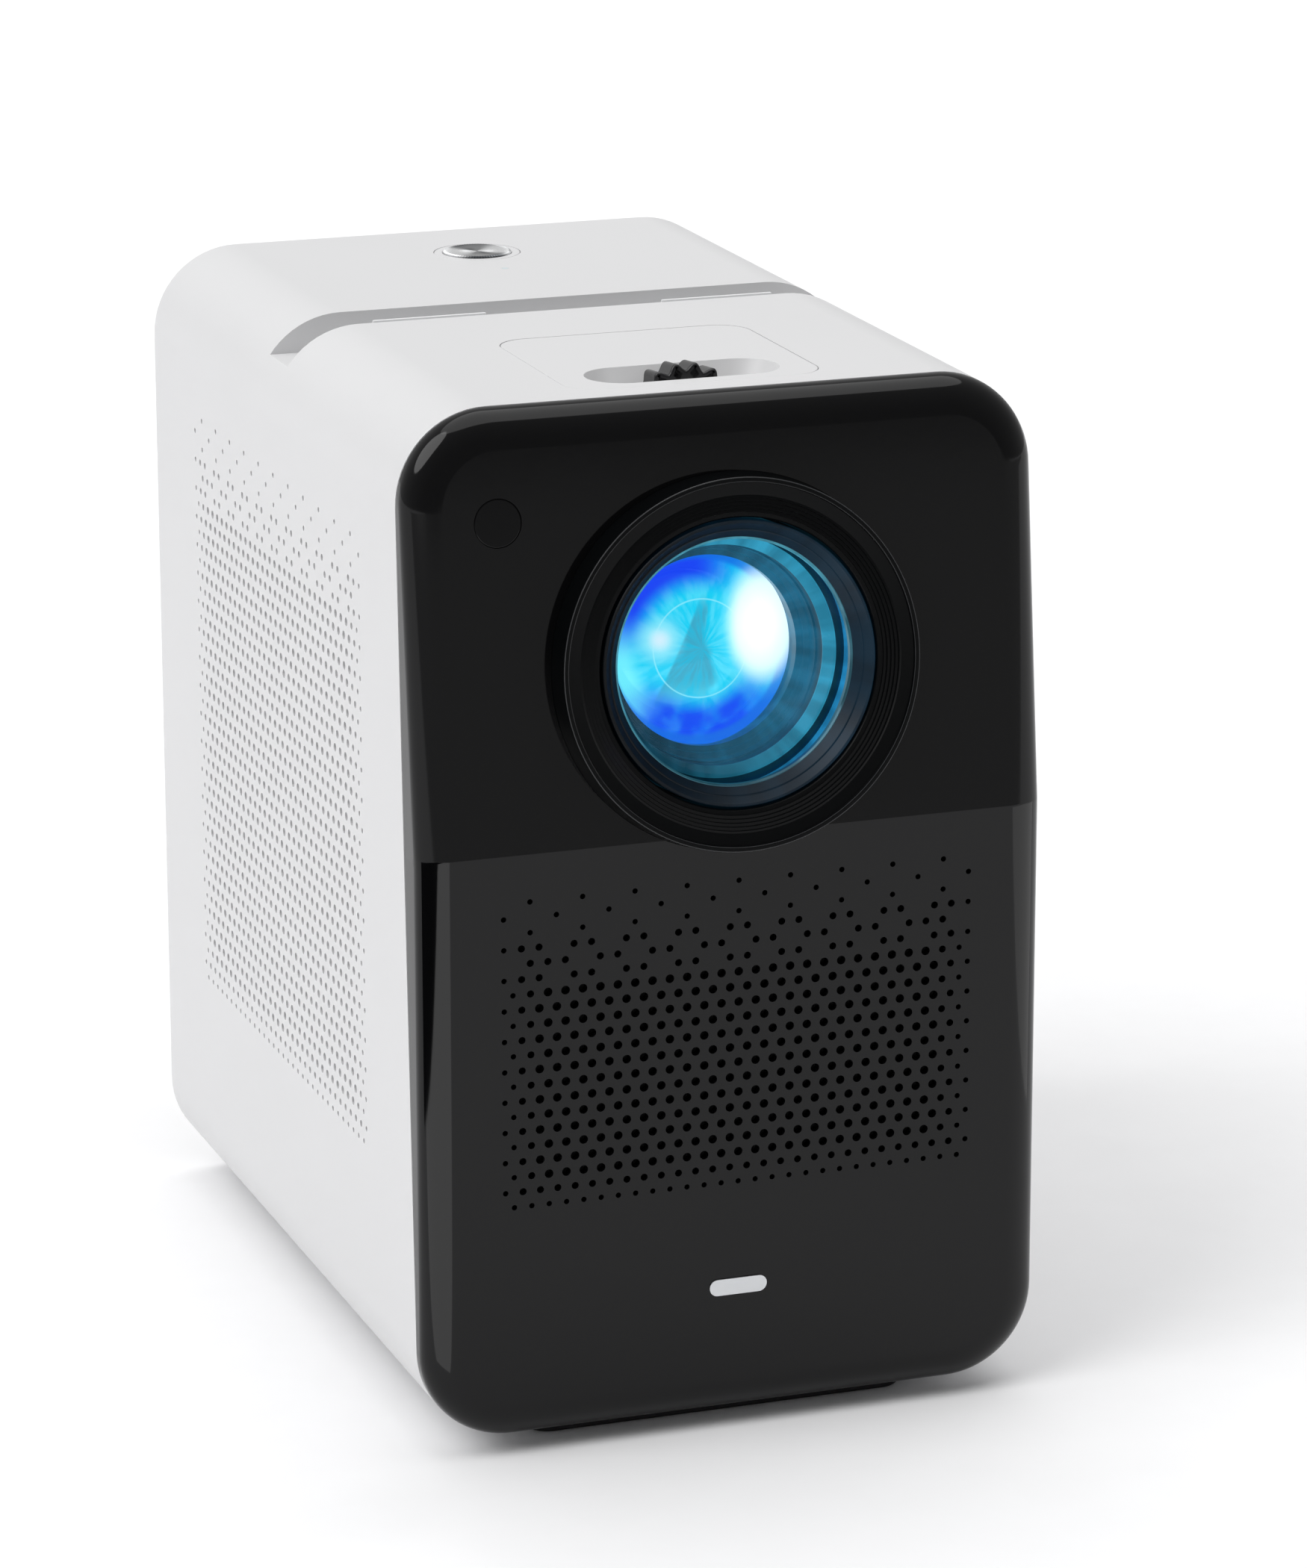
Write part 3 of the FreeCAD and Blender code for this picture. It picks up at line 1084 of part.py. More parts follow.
fan_posts = [
    rod(f"fan_post_{index}", "strut_width", (f"{side}({fan_half} - strut_width)", "fan_far_y",
                                             f"fan_z {up} ({fan_half} - strut_width)"),
        "cover_y - fan_far_y + cover_thickness / 2", "y")
    for index, (side, up) in enumerate((("-", "-"), ("-", "+"), ("", "-"), ("", "+")), 1)
]
part("rear_cover", joined("cover_with_posts", cut(
    "cover", cover_outer, *vent_cuts, *port_cuts, jack_cut, inlet_cut, *cover_holes), *fan_posts))
part("cover_screws", joined("screws", *[
    rod(f"screw_{kind}_{index}", radius, (across, near, height), length, "y")
    for index, (across, height) in enumerate(screw_places, 1)
    for kind, radius, near, length in (
        ("thread", "screw_radius", "cover_y - boss_length / 2", "cover_thickness + boss_length / 2"
         " - screw_head_depth"),
        ("head", "screw_head", "rear_y - screw_head_depth", "screw_head_depth"))
]))

# Boards: the main board carries the ports, the power board lies below it.
board_plates = {
    level: block(level + "_plate", ("-board_width / 2", "cover_y - board_length", level),
                 ("board_width / 2", "cover_y - board_back", f"{level} + board_thickness"))
    for level in ("main_board_z", "power_board_z")
}
main_top = "main_board_z + board_thickness"
middle_y = "cover_y - board_length / 2"
part("main_board", joined("main_board_solid", board_plates["main_board_z"], block(
    "processor", ("0", f"{middle_y} - chip_size / 2", main_top),
    ("chip_size", f"{middle_y} + chip_size / 2", f"{main_top} + chip_height"))))
part("power_board", board_plates["power_board_z"])
power_top = "power_board_z + board_thickness"
part("power_parts", joined(
    "power_solids",
    block("transformer", ("can_radius", f"{middle_y} - chip_size", power_top),
          ("can_radius + chip_size", middle_y, f"{power_top} + can_height")),
    *[rod(f"can_{index}", "can_radius", (f"{-index} * can_spacing", middle_y, power_top),
          "can_height") for index in (1, 2)]))
part("video_ports", joined("video", *[
    cut(f"{key}_shell", port_box(f"{key}_outer", key, "0", "port_y - port_depth", "port_y"),
        port_box(f"{key}_inner", key, "-port_wall", "port_y - port_depth + port_wall", "rear_y"))
    for key in ("video_1", "video_2")]))
part("data_port", cut("data_shell", port_box("data_outer", "data", "0", "port_y - port_depth", "port_y"),
                      port_box("data_inner", "data", "-port_wall", "port_y - port_depth + port_wall",
                               "rear_y")))
part("sound_jack", cut("jack", joined(
    "jack_solid",
    block("jack_body", ("jack_place - jack_size / 2", "port_y - port_depth", "port_z"),
          ("jack_place + jack_size / 2", "cover_y - port_gap", "port_z + jack_size")),
    rod("jack_collar", "jack_radius", ("jack_place", "cover_y - overrun", jack_z),
        "port_y - cover_y + overrun", "y")),
    rod("jack_hole", "jack_bore", ("jack_place", "port_y - port_depth + port_wall", jack_z),
        "2 * port_depth", "y")))
inlet_lobes = [
    rod(f"inlet_lobe_{index}", "inlet_lobe", (f"inlet_place {side} inlet_pins / 2", "rear_y - inlet_socket",
                                              "inlet_z"), "2 * inlet_socket", "y")
    for index, side in enumerate(("-", "+"), 1)]
inlet_bridge = block("inlet_bridge", ("inlet_place - inlet_pins / 2", "rear_y - inlet_socket",
                                      "inlet_z - inlet_lobe"),
                     ("inlet_place + inlet_pins / 2", "rear_y + overrun", "inlet_z + inlet_lobe"))
part("mains_inlet", cut("inlet", block("inlet_body", inlet_low, inlet_high), *inlet_lobes, inlet_bridge))
part("inlet_pins", joined("mains_pins", *[
    rod(f"mains_pin_{index}", "inlet_pin_radius", (f"inlet_place {side} inlet_pins / 2",
                                                   "rear_y - inlet_socket", "inlet_z"),
        "inlet_pin_length", "y")
    for index, side in enumerate(("-", "+"), 1)]))

# Speakers: a shared box behind the grille, and for each side a frame, a cone and a magnet.
speaker_y = "face_y + speaker_place"
speaker_z = "base_z + speaker_height"
box_half = "(speaker_spread + speaker_size) / 2 + box_margin"
box_outer = block("box_outer", (f"-({box_half})", f"{speaker_y} + speaker_plate",
                                f"{speaker_z} - speaker_size / 2 - box_margin"),
                  (box_half, f"{speaker_y} + box_depth", f"{speaker_z} + speaker_size / 2 + box_margin"))
box_inner = block("box_inner", (f"-({box_half}) + box_wall", f"{speaker_y} + speaker_plate + box_wall",
                                f"{speaker_z} - speaker_size / 2 - box_margin + box_wall"),
                  (f"{box_half} - box_wall", f"{speaker_y} + box_depth - box_wall",
                   f"{speaker_z} + speaker_size / 2 + box_margin - box_wall"))
sides = (("left", "-speaker_spread / 2"), ("right", "speaker_spread / 2"))
box_holes = [rod(f"box_hole_{side}", "cone_radius + cone_wall", (middle, speaker_y, speaker_z),
                 "speaker_plate + 2 * box_wall", "y") for side, middle in sides]
box_legs = [rod(f"box_leg_{side_name}", "leg_radius",
                (f"{side}box_leg_side", f"{speaker_y} + box_depth / 2", "base_z + wall"),
                f"{speaker_z} - speaker_size / 2 - box_margin - base_z - wall")
            for side_name, side in (("left", "-"), ("right", ""))]
part("speaker_box", joined("speaker_case_on_legs", cut(
    "speaker_case", box_outer, box_inner, *box_holes), *box_legs))
for side, middle in sides:
    plate = block(f"frame_plate_{side}", (f"{middle} - speaker_size / 2", speaker_y,
                                          f"{speaker_z} - speaker_size / 2"),
                  (f"{middle} + speaker_size / 2", f"{speaker_y} + speaker_plate",
                   f"{speaker_z} + speaker_size / 2"))
    part(f"speaker_frame_{side}", cut(f"frame_{side}", plate, rod(
        f"frame_hole_{side}", "cone_radius", (middle, f"{speaker_y} - overrun", speaker_z),
        "2 * speaker_plate", "y")))
    cone = turned(f"cone_{side}", [
        ("cone_radius", "0"), ("cone_radius", "cone_wall"), ("coil_radius", "cone_depth"),
        ("0", "cone_depth"), ("0", "cone_depth - cone_wall"),
        ("coil_radius - cone_wall", "cone_depth - cone_wall"),
        ("cone_radius - 2 * cone_wall", "0"),
    ])
    magnet = rod(f"magnet_{side}", "magnet_radius", (middle, f"{speaker_y} + cone_depth", speaker_z),
                 "magnet_depth", "y")
    cone.Placement = Placement(Vector(), Rotation(Vector(1, 0, 0), -90))
    for axis, place in zip("xyz", (middle, speaker_y, speaker_z)):
        cone.setExpression(f"Placement.Base.{axis}", link(place))
    part(f"speaker_cone_{side}", cone)
    part(f"speaker_magnet_{side}", magnet)

doc.recompute()
for item in doc.Objects:
    if "Invalid" in item.State or "Error" in item.State:
        raise RuntimeError(f"{item.Name} did not compute: {item.State}")
for item in subparts:
    if item.Shape.isNull() or not item.Shape.isValid():
        raise RuntimeError(f"{item.Label} has no valid shape")

os.makedirs("parts", exist_ok=True)
for item in subparts:
    item.Shape.exportStep(f"parts/{item.Label}.step")
print(len(subparts), "sub-parts")
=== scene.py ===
import json
import math

import bmesh
import bpy
from mathutils import Matrix, Vector


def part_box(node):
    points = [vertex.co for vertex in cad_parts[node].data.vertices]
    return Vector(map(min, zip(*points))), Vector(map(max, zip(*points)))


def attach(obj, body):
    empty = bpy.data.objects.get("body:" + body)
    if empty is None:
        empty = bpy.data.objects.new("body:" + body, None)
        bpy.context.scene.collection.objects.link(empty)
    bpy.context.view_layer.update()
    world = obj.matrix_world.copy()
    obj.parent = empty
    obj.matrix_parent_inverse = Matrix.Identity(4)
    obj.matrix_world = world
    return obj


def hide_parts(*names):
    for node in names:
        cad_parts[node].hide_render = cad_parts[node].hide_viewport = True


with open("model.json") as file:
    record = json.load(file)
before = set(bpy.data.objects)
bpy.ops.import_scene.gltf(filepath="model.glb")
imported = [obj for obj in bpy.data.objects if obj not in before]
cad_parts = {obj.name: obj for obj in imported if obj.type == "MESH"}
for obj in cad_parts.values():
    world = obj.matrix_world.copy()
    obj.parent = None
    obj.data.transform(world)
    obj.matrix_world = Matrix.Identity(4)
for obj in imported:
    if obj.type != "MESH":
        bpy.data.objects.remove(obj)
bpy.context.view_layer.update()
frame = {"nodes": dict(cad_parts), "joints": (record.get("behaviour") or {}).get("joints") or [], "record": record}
MM = 0.001

# Camera: a long lens in front of the projector, to its left and above it.
# It looks down a little, so that the top and the left side both show.
camera = bpy.data.objects.new("camera", bpy.data.cameras.new("camera"))
bpy.context.scene.collection.objects.link(camera)
camera.data.lens = 142.3
camera.data.sensor_width = 36
camera_place = (-0.4676, -1.3611, 0.5352)
turn_left = math.radians(-19.6)
look_down = math.radians(15.85)
roll = math.radians(-0.0535)
camera.matrix_world = (
    Matrix.Translation(camera_place)
    @ Matrix.Rotation(turn_left, 4, "Z")
    @ Matrix.Rotation(math.pi / 2 - look_down, 4, "X")
    @ Matrix.Rotation(roll, 4, "Z")
)
bpy.context.scene.camera = camera
bpy.context.scene.view_settings.view_transform = "Standard"

# Floor: a seamless sheet of white studio paper, wide enough to fill the view.
# Paper is matte, so it only shows the soft shadow under the projector.


def linear(colour):
    """An sRGB hex colour as the linear values that a shader needs."""
    parts = [int(colour[place:place + 2], 16) / 255 for place in (1, 3, 5)]
    return [part / 12.92 if part <= 0.04045 else ((part + 0.055) / 1.055) ** 2.4 for part in parts] + [1]


def node(tree, kind, inputs=(), **settings):
    """Adds a node with its settings; an input is a value, or another node's output to link."""
    made = tree.nodes.new(kind)
    for name, setting in settings.items():
        setattr(made, name, setting)
    for socket, given in dict(inputs).items():
        if isinstance(given, bpy.types.NodeSocket):
            tree.links.new(given, made.inputs[socket])
        else:
            made.inputs[socket].default_value = given
    return made


def new_material(name):
    """An empty material: its node tree, and its Principled shader linked to the output."""
    made = bpy.data.materials.new(name)
    made.use_nodes = True
    return made, made.node_tree, made.node_tree.nodes["Principled BSDF"]


studio_paper, paper_tree, paper_shader = new_material("studio_paper")
paper_shader.inputs["Roughness"].default_value = 0.9
paper_shader.inputs["Specular IOR Level"].default_value = 0.1
paper_place = node(paper_tree, "ShaderNodeTexCoord")
paper_fibre = node(paper_tree, "ShaderNodeTexNoise", {
    "Vector": paper_place.outputs["Object"], "Scale": 60, "Detail": 3})
paper_tone = node(paper_tree, "ShaderNodeMixRGB", {
    0: paper_fibre.outputs[0], 1: linear("#f4f4f5"), 2: linear("#f7f7f8")})
paper_tree.links.new(paper_tone.outputs[0], paper_shader.inputs["Base Color"])
floor_shape = bmesh.new()
bmesh.ops.create_grid(floor_shape, x_segments=2, y_segments=2, size=9)
floor_mesh = bpy.data.meshes.new("floor")
floor_shape.to_mesh(floor_mesh)
floor_shape.free()
floor = bpy.data.objects.new("floor", floor_mesh)
floor_mesh.materials.append(studio_paper)
bpy.context.scene.collection.objects.link(floor)

# Studio light: a broad key from the left and a softer light from straight above, in a pale surround
# that is dimmer in front of the projector. White, black and grey cards lie in front of it, and only
# its glossy parts mirror them: they draw the highlights along its edges and the tone of its faces.


def broad_light(name, strength, spread, direction):
    """A soft light that is the same everywhere, coming from a direction."""
    light = bpy.data.objects.new(name, bpy.data.lights.new(name, "SUN"))
    light.data.energy = strength
    light.data.angle = math.radians(spread)
    light.rotation_euler = Vector(direction).to_track_quat("Z", "Y").to_euler()
    bpy.context.scene.collection.objects.link(light)


broad_light("key_light", 1.52, 42, (-1, -0.25, 1.15))
broad_light("top_light", 1.22, 60, (0.1, 0.05, 1))


def reflector(name, low, high, colour, strength):
    """A card lying just above the floor, between two corners, that only shows as a reflection."""
    card_height = 4 * MM
    shape = bmesh.new()
    middle = (Vector(low) + Vector(high)) / 2
    bmesh.ops.create_grid(shape, x_segments=1, y_segments=1, size=0.5, matrix=Matrix.Translation(
        (*middle, card_height)) @ Matrix.Diagonal((high[0] - low[0], high[1] - low[1], 1, 1)))
    mesh = bpy.data.meshes.new(name)
    shape.to_mesh(mesh)
    shape.free()
    card_paint, card_tree, card_shader = new_material(name + "_paint")
    card_tree.nodes.remove(card_shader)
    glow = node(card_tree, "ShaderNodeEmission", {"Color": linear(colour), "Strength": strength})
    card_tree.links.new(glow.outputs[0], card_tree.nodes["Material Output"].inputs["Surface"])
    mesh.materials.append(card_paint)
    card = bpy.data.objects.new(name, mesh)
    bpy.context.scene.collection.objects.link(card)
    card.visible_camera = card.visible_diffuse = card.visible_shadow = card.visible_transmission = False


reflector("left_strip", (-0.3, -0.95), (-0.078, -0.14), "#ffffff", 2.2)
reflector("left_black_card", (-0.62, -0.95), (-0.3, -0.1), "#000000", 1)
reflector("right_strip", (0.27, -0.6), (0.75, -0.12), "#ffffff", 1.9)
reflector("far_grey_card", (-3, -8.9), (6, -1.1), "#ffffff", 0.5)
surround = bpy.data.worlds.new("surround")
bpy.context.scene.world = surround
surround.use_nodes = True
surround_tree = surround.node_tree
surround_place = node(surround_tree, "ShaderNodeTexCoord")
surround_parts = node(surround_tree, "ShaderNodeSeparateXYZ", {0: surround_place.outputs["Generated"]})
surround_tone = node(surround_tree, "ShaderNodeMapRange", {
    "Value": surround_parts.outputs["Y"], "From Min": -0.9, "From Max": 0.5, "To Min": 0.2, "To Max": 0.62})
surround_tree.links.new(surround_tone.outputs[0], surround_tree.nodes["Background"].inputs["Strength"])
surround_tree.nodes["Background"].inputs["Color"].default_value = linear("#fdfdfd")

# Casing: one injection-moulded ABS sleeve, open at both ends, with a tablet slot across its top.
# Its flat sides are drilled with a fine staggered pattern of vent holes that thins out at the top,
# and air slots and a tripod socket open its underside.


def moulded_plastic(name, colour, roughness, grain, depth, **sockets):
    """Moulded plastic: spark-eroded grain of a size in millimetres, and a faint drift in tone."""
    made, tree, shader = new_material(name)
    place = node(tree, "ShaderNodeTexCoord")
    drift = node(tree, "ShaderNodeTexNoise", {"Vector": place.outputs["Object"], "Scale": 18, "Detail": 2})
    dark = [part * 0.965 for part in linear(colour)[:3]] + [1]
    tone = node(tree, "ShaderNodeMixRGB", {0: drift.outputs[0], 1: dark, 2: linear(colour)})
    tree.links.new(tone.outputs[0], shader.inputs["Base Color"])
    pits = node(tree, "ShaderNodeTexNoise", {
        "Vector": place.outputs["Object"], "Scale": 1 / (grain * MM), "Detail": 2})
    worn = node(tree, "ShaderNodeMapRange", {
        "Value": pits.outputs[0], "To Min": roughness * 0.9, "To Max": roughness * 1.1})
    tree.links.new(worn.outputs[0], shader.inputs["Roughness"])
    bump = node(tree, "ShaderNodeBump", {
        "Height": pits.outputs[0], "Strength": 1, "Distance": depth * MM})
    tree.links.new(bump.outputs[0], shader.inputs["Normal"])
    for socket, number in sockets.items():
        shader.inputs[socket.replace("_", " ")].default_value = number
    return made


def block(low, high, radius=0, segments=16):
    """A block between two corners, with its four edges along Y rounded."""
    shape = bmesh.new()
    bmesh.ops.create_cube(shape, size=1)
    bmesh.ops.scale(shape, vec=Vector(high) - Vector(low), verts=shape.verts)
    bmesh.ops.translate(shape, vec=(Vector(low) + Vector(high)) / 2, verts=shape.verts)
    if radius:
        along = [edge for edge in shape.edges
                 if abs(edge.verts[0].co.y - edge.verts[1].co.y) > 0.5 * (high[1] - low[1])]
        bmesh.ops.bevel(shape, geom=along, offset=radius, affect="EDGES", segments=segments,
                        profile=0.5, material=-1)
    return shape


def rods(places, length, direction, segments=12):
    """Separate rods of one length, each with its middle and its radius, pointing in a direction."""
    shape = bmesh.new()
    turn = Vector(direction).to_track_quat("Z", "Y").to_matrix().to_4x4()
    for place, radius in places:
        bmesh.ops.create_cone(shape, cap_ends=True, segments=segments, radius1=radius, radius2=radius,
                              depth=length, matrix=Matrix.Translation(place) @ turn)
    return shape


def scratch_object(shape):
    """A bmesh as an object that is thrown away after use."""
    mesh = bpy.data.meshes.new("scratch")
    shape.to_mesh(mesh)
    shape.free()
    made = bpy.data.objects.new("scratch", mesh)
    bpy.context.scene.collection.objects.link(made)
    return made


def combine(shape, tool, operation="DIFFERENCE"):
    """One closed bmesh with another taken out of it, or joined to it."""
    base, other = scratch_object(shape), scratch_object(tool)
    boolean = base.modifiers.new("combine", "BOOLEAN")
    boolean.operation = operation
    boolean.solver = "MANIFOLD"
    boolean.object = other
    bpy.context.view_layer.update()
    result = bmesh.new()
    result.from_object(base, bpy.context.evaluated_depsgraph_get())
    for used in (base, other):
        mesh = used.data
        bpy.data.objects.remove(used)
        bpy.data.meshes.remove(mesh)
    bmesh.ops.remove_doubles(result, verts=result.verts, dist=1e-7)
    return result


def soften(shape, width, sharp=50, segments=2):
    """Rounds the edges that are sharper than an angle, so that they catch the light."""
    edges = [edge for edge in shape.edges if edge.calc_face_angle(0) > math.radians(sharp)]
    bmesh.ops.bevel(shape, geom=edges, offset=width, affect="EDGES", segments=segments, profile=0.5,
                    material=-1, clamp_overlap=True)
    return shape


def piece(name, shape, material, body, replaced=(), sharp=32):
    """A finished piece: smooth, but sharp past an angle, and fixed to a body."""
    for face in shape.faces:
        face.smooth = True
    for edge in shape.edges:
        edge.smooth = edge.calc_face_angle(math.pi) < math.radians(sharp)
    mesh = bpy.data.meshes.new(name)
    shape.to_mesh(mesh)
    shape.free()
    mesh.materials.append(material)
    made = bpy.data.objects.new(name, mesh)
    bpy.context.scene.collection.objects.link(made)
    even = made.modifiers.new("even_normals", "WEIGHTED_NORMAL")
    even.keep_sharp = True
    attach(made, body)
    if replaced:
        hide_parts(*replaced)
    return made


white_abs = moulded_plastic("white_abs_moulded", "#d6d6d7", 0.4, 0.5, 0.006)
sleeve_low, sleeve_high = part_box("main_shell")
face_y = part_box("front_bezel")[0].y
corner = 21.3 * MM
wall = 2.5 * MM
rim_set_back = 6.6 * MM
rim_lean = math.radians(2.44)
groove_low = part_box("slot_pads")[0].y
groove_wide = 14.6 * MM
groove_deep = 9 * MM
panel_low, panel_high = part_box("focus_panel")
panel_flange = 3 * MM
panel_gap = 0.15 * MM
panel_corner = 8 * MM
button_middle = sum(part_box("power_button"), Vector()) / 2
ring_radius = 10.7 * MM
light_middle = sum(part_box("light_pipe"), Vector()) / 2
light_radius = 0.9 * MM


def rim_y(height, extra=0.6 * MM):
    """Where the sleeve's leaning front edge is at a height; the extra is the seal's thickness."""
    return face_y + rim_set_back + (height - sleeve_low.z) * math.tan(rim_lean) + extra


def lean(shape, middle):
    """Slants the front end of a straight bar to the sleeve's front edge."""
    for vert in shape.verts:
        if vert.co.y < middle:
            vert.co.y = rim_y(vert.co.z)
    return shape


middle_y = (sleeve_low.y + sleeve_high.y) / 2
sleeve = lean(block(sleeve_low, sleeve_high, corner), middle_y)
inset = Vector((wall, 0, wall))
past_ends = Vector((0, 1, 0)) * 0.05
inside = block(sleeve_low + inset - past_ends, sleeve_high - inset + past_ends, corner - wall)
trough = block((sleeve_low.x, groove_low - wall, sleeve_high.z - groove_deep - wall),
               (sleeve_high.x, groove_low + groove_wide + wall, sleeve_high.z))
groove = block((2 * sleeve_low.x, groove_low, sleeve_high.z - groove_deep),
               (2 * sleeve_high.x, groove_low + groove_wide, sleeve_high.z + corner))
sleeve = combine(sleeve, combine(inside, trough))
sleeve = combine(sleeve, groove)


def upright(low, high, radius, segments=10):
    """A block between two corners, with its four upright edges rounded."""
    shape = block((low[0], -high[2], low[1]), (high[0], -low[2], high[1]), radius, segments)
    bmesh.ops.rotate(shape, cent=(0, 0, 0), matrix=Matrix.Rotation(math.radians(-90), 3, "X"),
                     verts=shape.verts)
    return shape


panel_edge = panel_flange - panel_gap
sleeve = combine(sleeve, upright(
    (panel_low.x + panel_edge, panel_low.y + panel_edge, sleeve_high.z - 2 * wall),
    (panel_high.x - panel_edge, panel_high.y - panel_edge, sleeve_high.z + wall), panel_corner))
sleeve = combine(sleeve, rods([((0, button_middle.y, sleeve_high.z), ring_radius + panel_gap)], 4 * wall,
                              (0, 0, 1), 96))
sleeve = combine(sleeve, rods([((0, light_middle.y, sleeve_high.z), light_radius)], 4 * wall,
                              (0, 0, 1), 24))
air_slots = 6
air_slot_pitch = 7
air_slot_side = 40 * MM
air_slot_half = Vector((10, 1.5, 0)) * MM
for side in (-1, 1):
    for index in range(air_slots):
        slot_y = (air_slot_pitch * (index - air_slots // 2) + 1.5) * MM
        slot_middle = Vector((side * air_slot_side, slot_y, 0))
        slot_top = Vector((0, 0, sleeve_low.z + 2 * wall))
        sleeve = combine(sleeve, upright(slot_middle - air_slot_half, slot_middle + air_slot_half + slot_top,
                                         1.49 * MM, 6))
tripod_bore = 5 * MM
sleeve = combine(sleeve, rods([((0, 0, sleeve_low.z), tripod_bore)], 4 * wall, (0, 0, 1), 64))
sleeve = soften(sleeve, 0.35 * MM, 60)

vent_pitch = 4.147 * MM
vent_row = vent_pitch * math.sqrt(3) / 2
vent_low = sleeve_low.z + 59.5 * MM
vent_front = face_y + 44.9 * MM
vent_columns, vent_rows = 33, 35
thinning = [(2, 4), (1, 5), (2, 4), (3,), (0,), (3,)]


def staggered(columns, rows):
    """Hole places in half pitches across and rows up: full rows first, then rows that thin out."""
    last = 2 * columns
    for row in range(rows + len(thinning)):
        for column in range(row % 2 == 0, last + 1, 2):
            thin = row - rows
            if thin < 0 or column % 6 in thinning[thin] and not (thin == 1 and column in (1, last - 1)):
                yield column, row
            elif column in {0: (0, last), 1: (3, last - 3), 2: (0, last)}.get(thin, ()):
                yield column, row


def hole_radius(column, row, columns, rows):
    """Full size inside the pattern, smaller towards its sides and foot and where it thins out."""
    margin = min(column, 2 * columns - column)
    if margin < 2 or row == 0 or row > rows + 2:
        return 0.65 * MM
    if margin < 4 or row == 1 or row >= rows:
        return 0.85 * MM
    return 1.04 * MM


vents = [((0, vent_front + column * vent_pitch / 2, vent_low + row * vent_row),
          hole_radius(column, row, vent_columns, vent_rows))
         for column, row in staggered(vent_columns, vent_rows)]
sleeve = combine(sleeve, rods(vents, 3 * sleeve_high.x, (1, 0, 0)))
piece("casing", sleeve, white_abs, "housing",
      ("main_shell", "side_vent_left", "side_vent_right"))

# Seal: a thin grey gasket pressed between the bezel and the sleeve, a little below their surfaces.
# Santoprene is soft and matte, so the joint reads as a fine line.


def slanted(low, high, radius, front, back):
    """A rounded ring blank whose two ends lean as the sleeve's front edge does."""
    shape = block((low[0], -1, low[1]), (high[0], 1, high[1]), radius)
    for vert in shape.verts:
        vert.co.y = rim_y(vert.co.z, front if vert.co.y < 0 else back)
    return shape


santoprene_grey = moulded_plastic("santoprene_grey", "#8e8f92", 0.6, 0.4, 0.004)
seal_inset = 0.5 * MM
seal_thick = 0.6 * MM
seal = combine(
    slanted((sleeve_low.x + seal_inset, sleeve_low.z + seal_inset),
            (sleeve_high.x - seal_inset, sleeve_high.z - seal_inset), corner - seal_inset, 0, seal_thick),
    slanted((sleeve_low.x + wall, sleeve_low.z + wall), (sleeve_high.x - wall, sleeve_high.z - wall),
            corner - wall, -wall, 2 * wall))
piece("bezel_gasket", seal, santoprene_grey, "housing", ("bezel_seal",))

# Bezel: one cap moulded in black ABS and polished, with an upright lower face and an upper face
# that leans back from a soft bend. A broad rounding runs all round, and the lower face is drilled
# for the speakers. Polished ABS mirrors the studio, with a trace of orange peel.
polished_abs = moulded_plastic("polished_black_abs", "#070708", 0.07, 6, 0.003, Specular_IOR_Level=0.27)
focus = {joint["name"]: joint for joint in frame["joints"]}
lens_point = Vector(focus["focus_ring_turn"]["pos_m"])
lens_inward = Vector(focus["focus_ring_turn"]["axis"]).normalized()
lens_up = Vector((1, 0, 0)).cross(lens_inward)
lens_tilt = math.asin(-lens_inward.z)
bend_below_lens = 40.3 * MM
bend_z = lens_point.z - bend_below_lens * math.cos(lens_tilt)


def on_lens(side=0, up=0, inward=0):
    """A point beside the lens axis, given in metres along the leaning upper face."""
    return lens_point + Vector((side, 0, 0)) + lens_up * up + lens_inward * inward


def bezel_form(inset, rounding, swell, past):
    """The bezel's outside, or its hollow: rounded, bent at the crease and cut to the leaning rim."""
    low = Vector((sleeve_low.x + inset, face_y + inset, sleeve_low.z + inset))
    high = Vector((sleeve_high.x - inset, face_y + 0.1, sleeve_high.z - inset))
    shape = block(low, high, corner - inset, 20)
    front = [edge for edge in shape.edges if all(vert.co.y < low.y + 1e-6 for vert in edge.verts)]
    bmesh.ops.bevel(shape, geom=front, offset=rounding, affect="EDGES", segments=12, profile=0.5,
                    material=-1)
    geometry = [*shape.verts, *shape.edges, *shape.faces]
    bmesh.ops.bisect_plane(shape, geom=geometry, dist=1e-7, plane_co=(0, 0, bend_z), plane_no=(0, 0, 1))
    bend = []
    for vert in shape.verts:
        if vert.co.y > high.y - 1e-6:
            vert.co.y = rim_y(vert.co.z, past)
        else:
            depth = (vert.co.y - low.y) * swell / rounding
            vert.co.y = low.y + depth + max(0, vert.co.z - bend_z) * math.tan(lens_tilt)
            if abs(vert.co.z - bend_z) < 1e-6:
                bend.append(vert)
    across = [edge for edge in shape.edges if all(vert in bend for vert in edge.verts)]
    bmesh.ops.bevel(shape, geom=across, offset=1.2 * MM, affect="EDGES", segments=4, profile=0.5,
                    material=-1)
    return shape


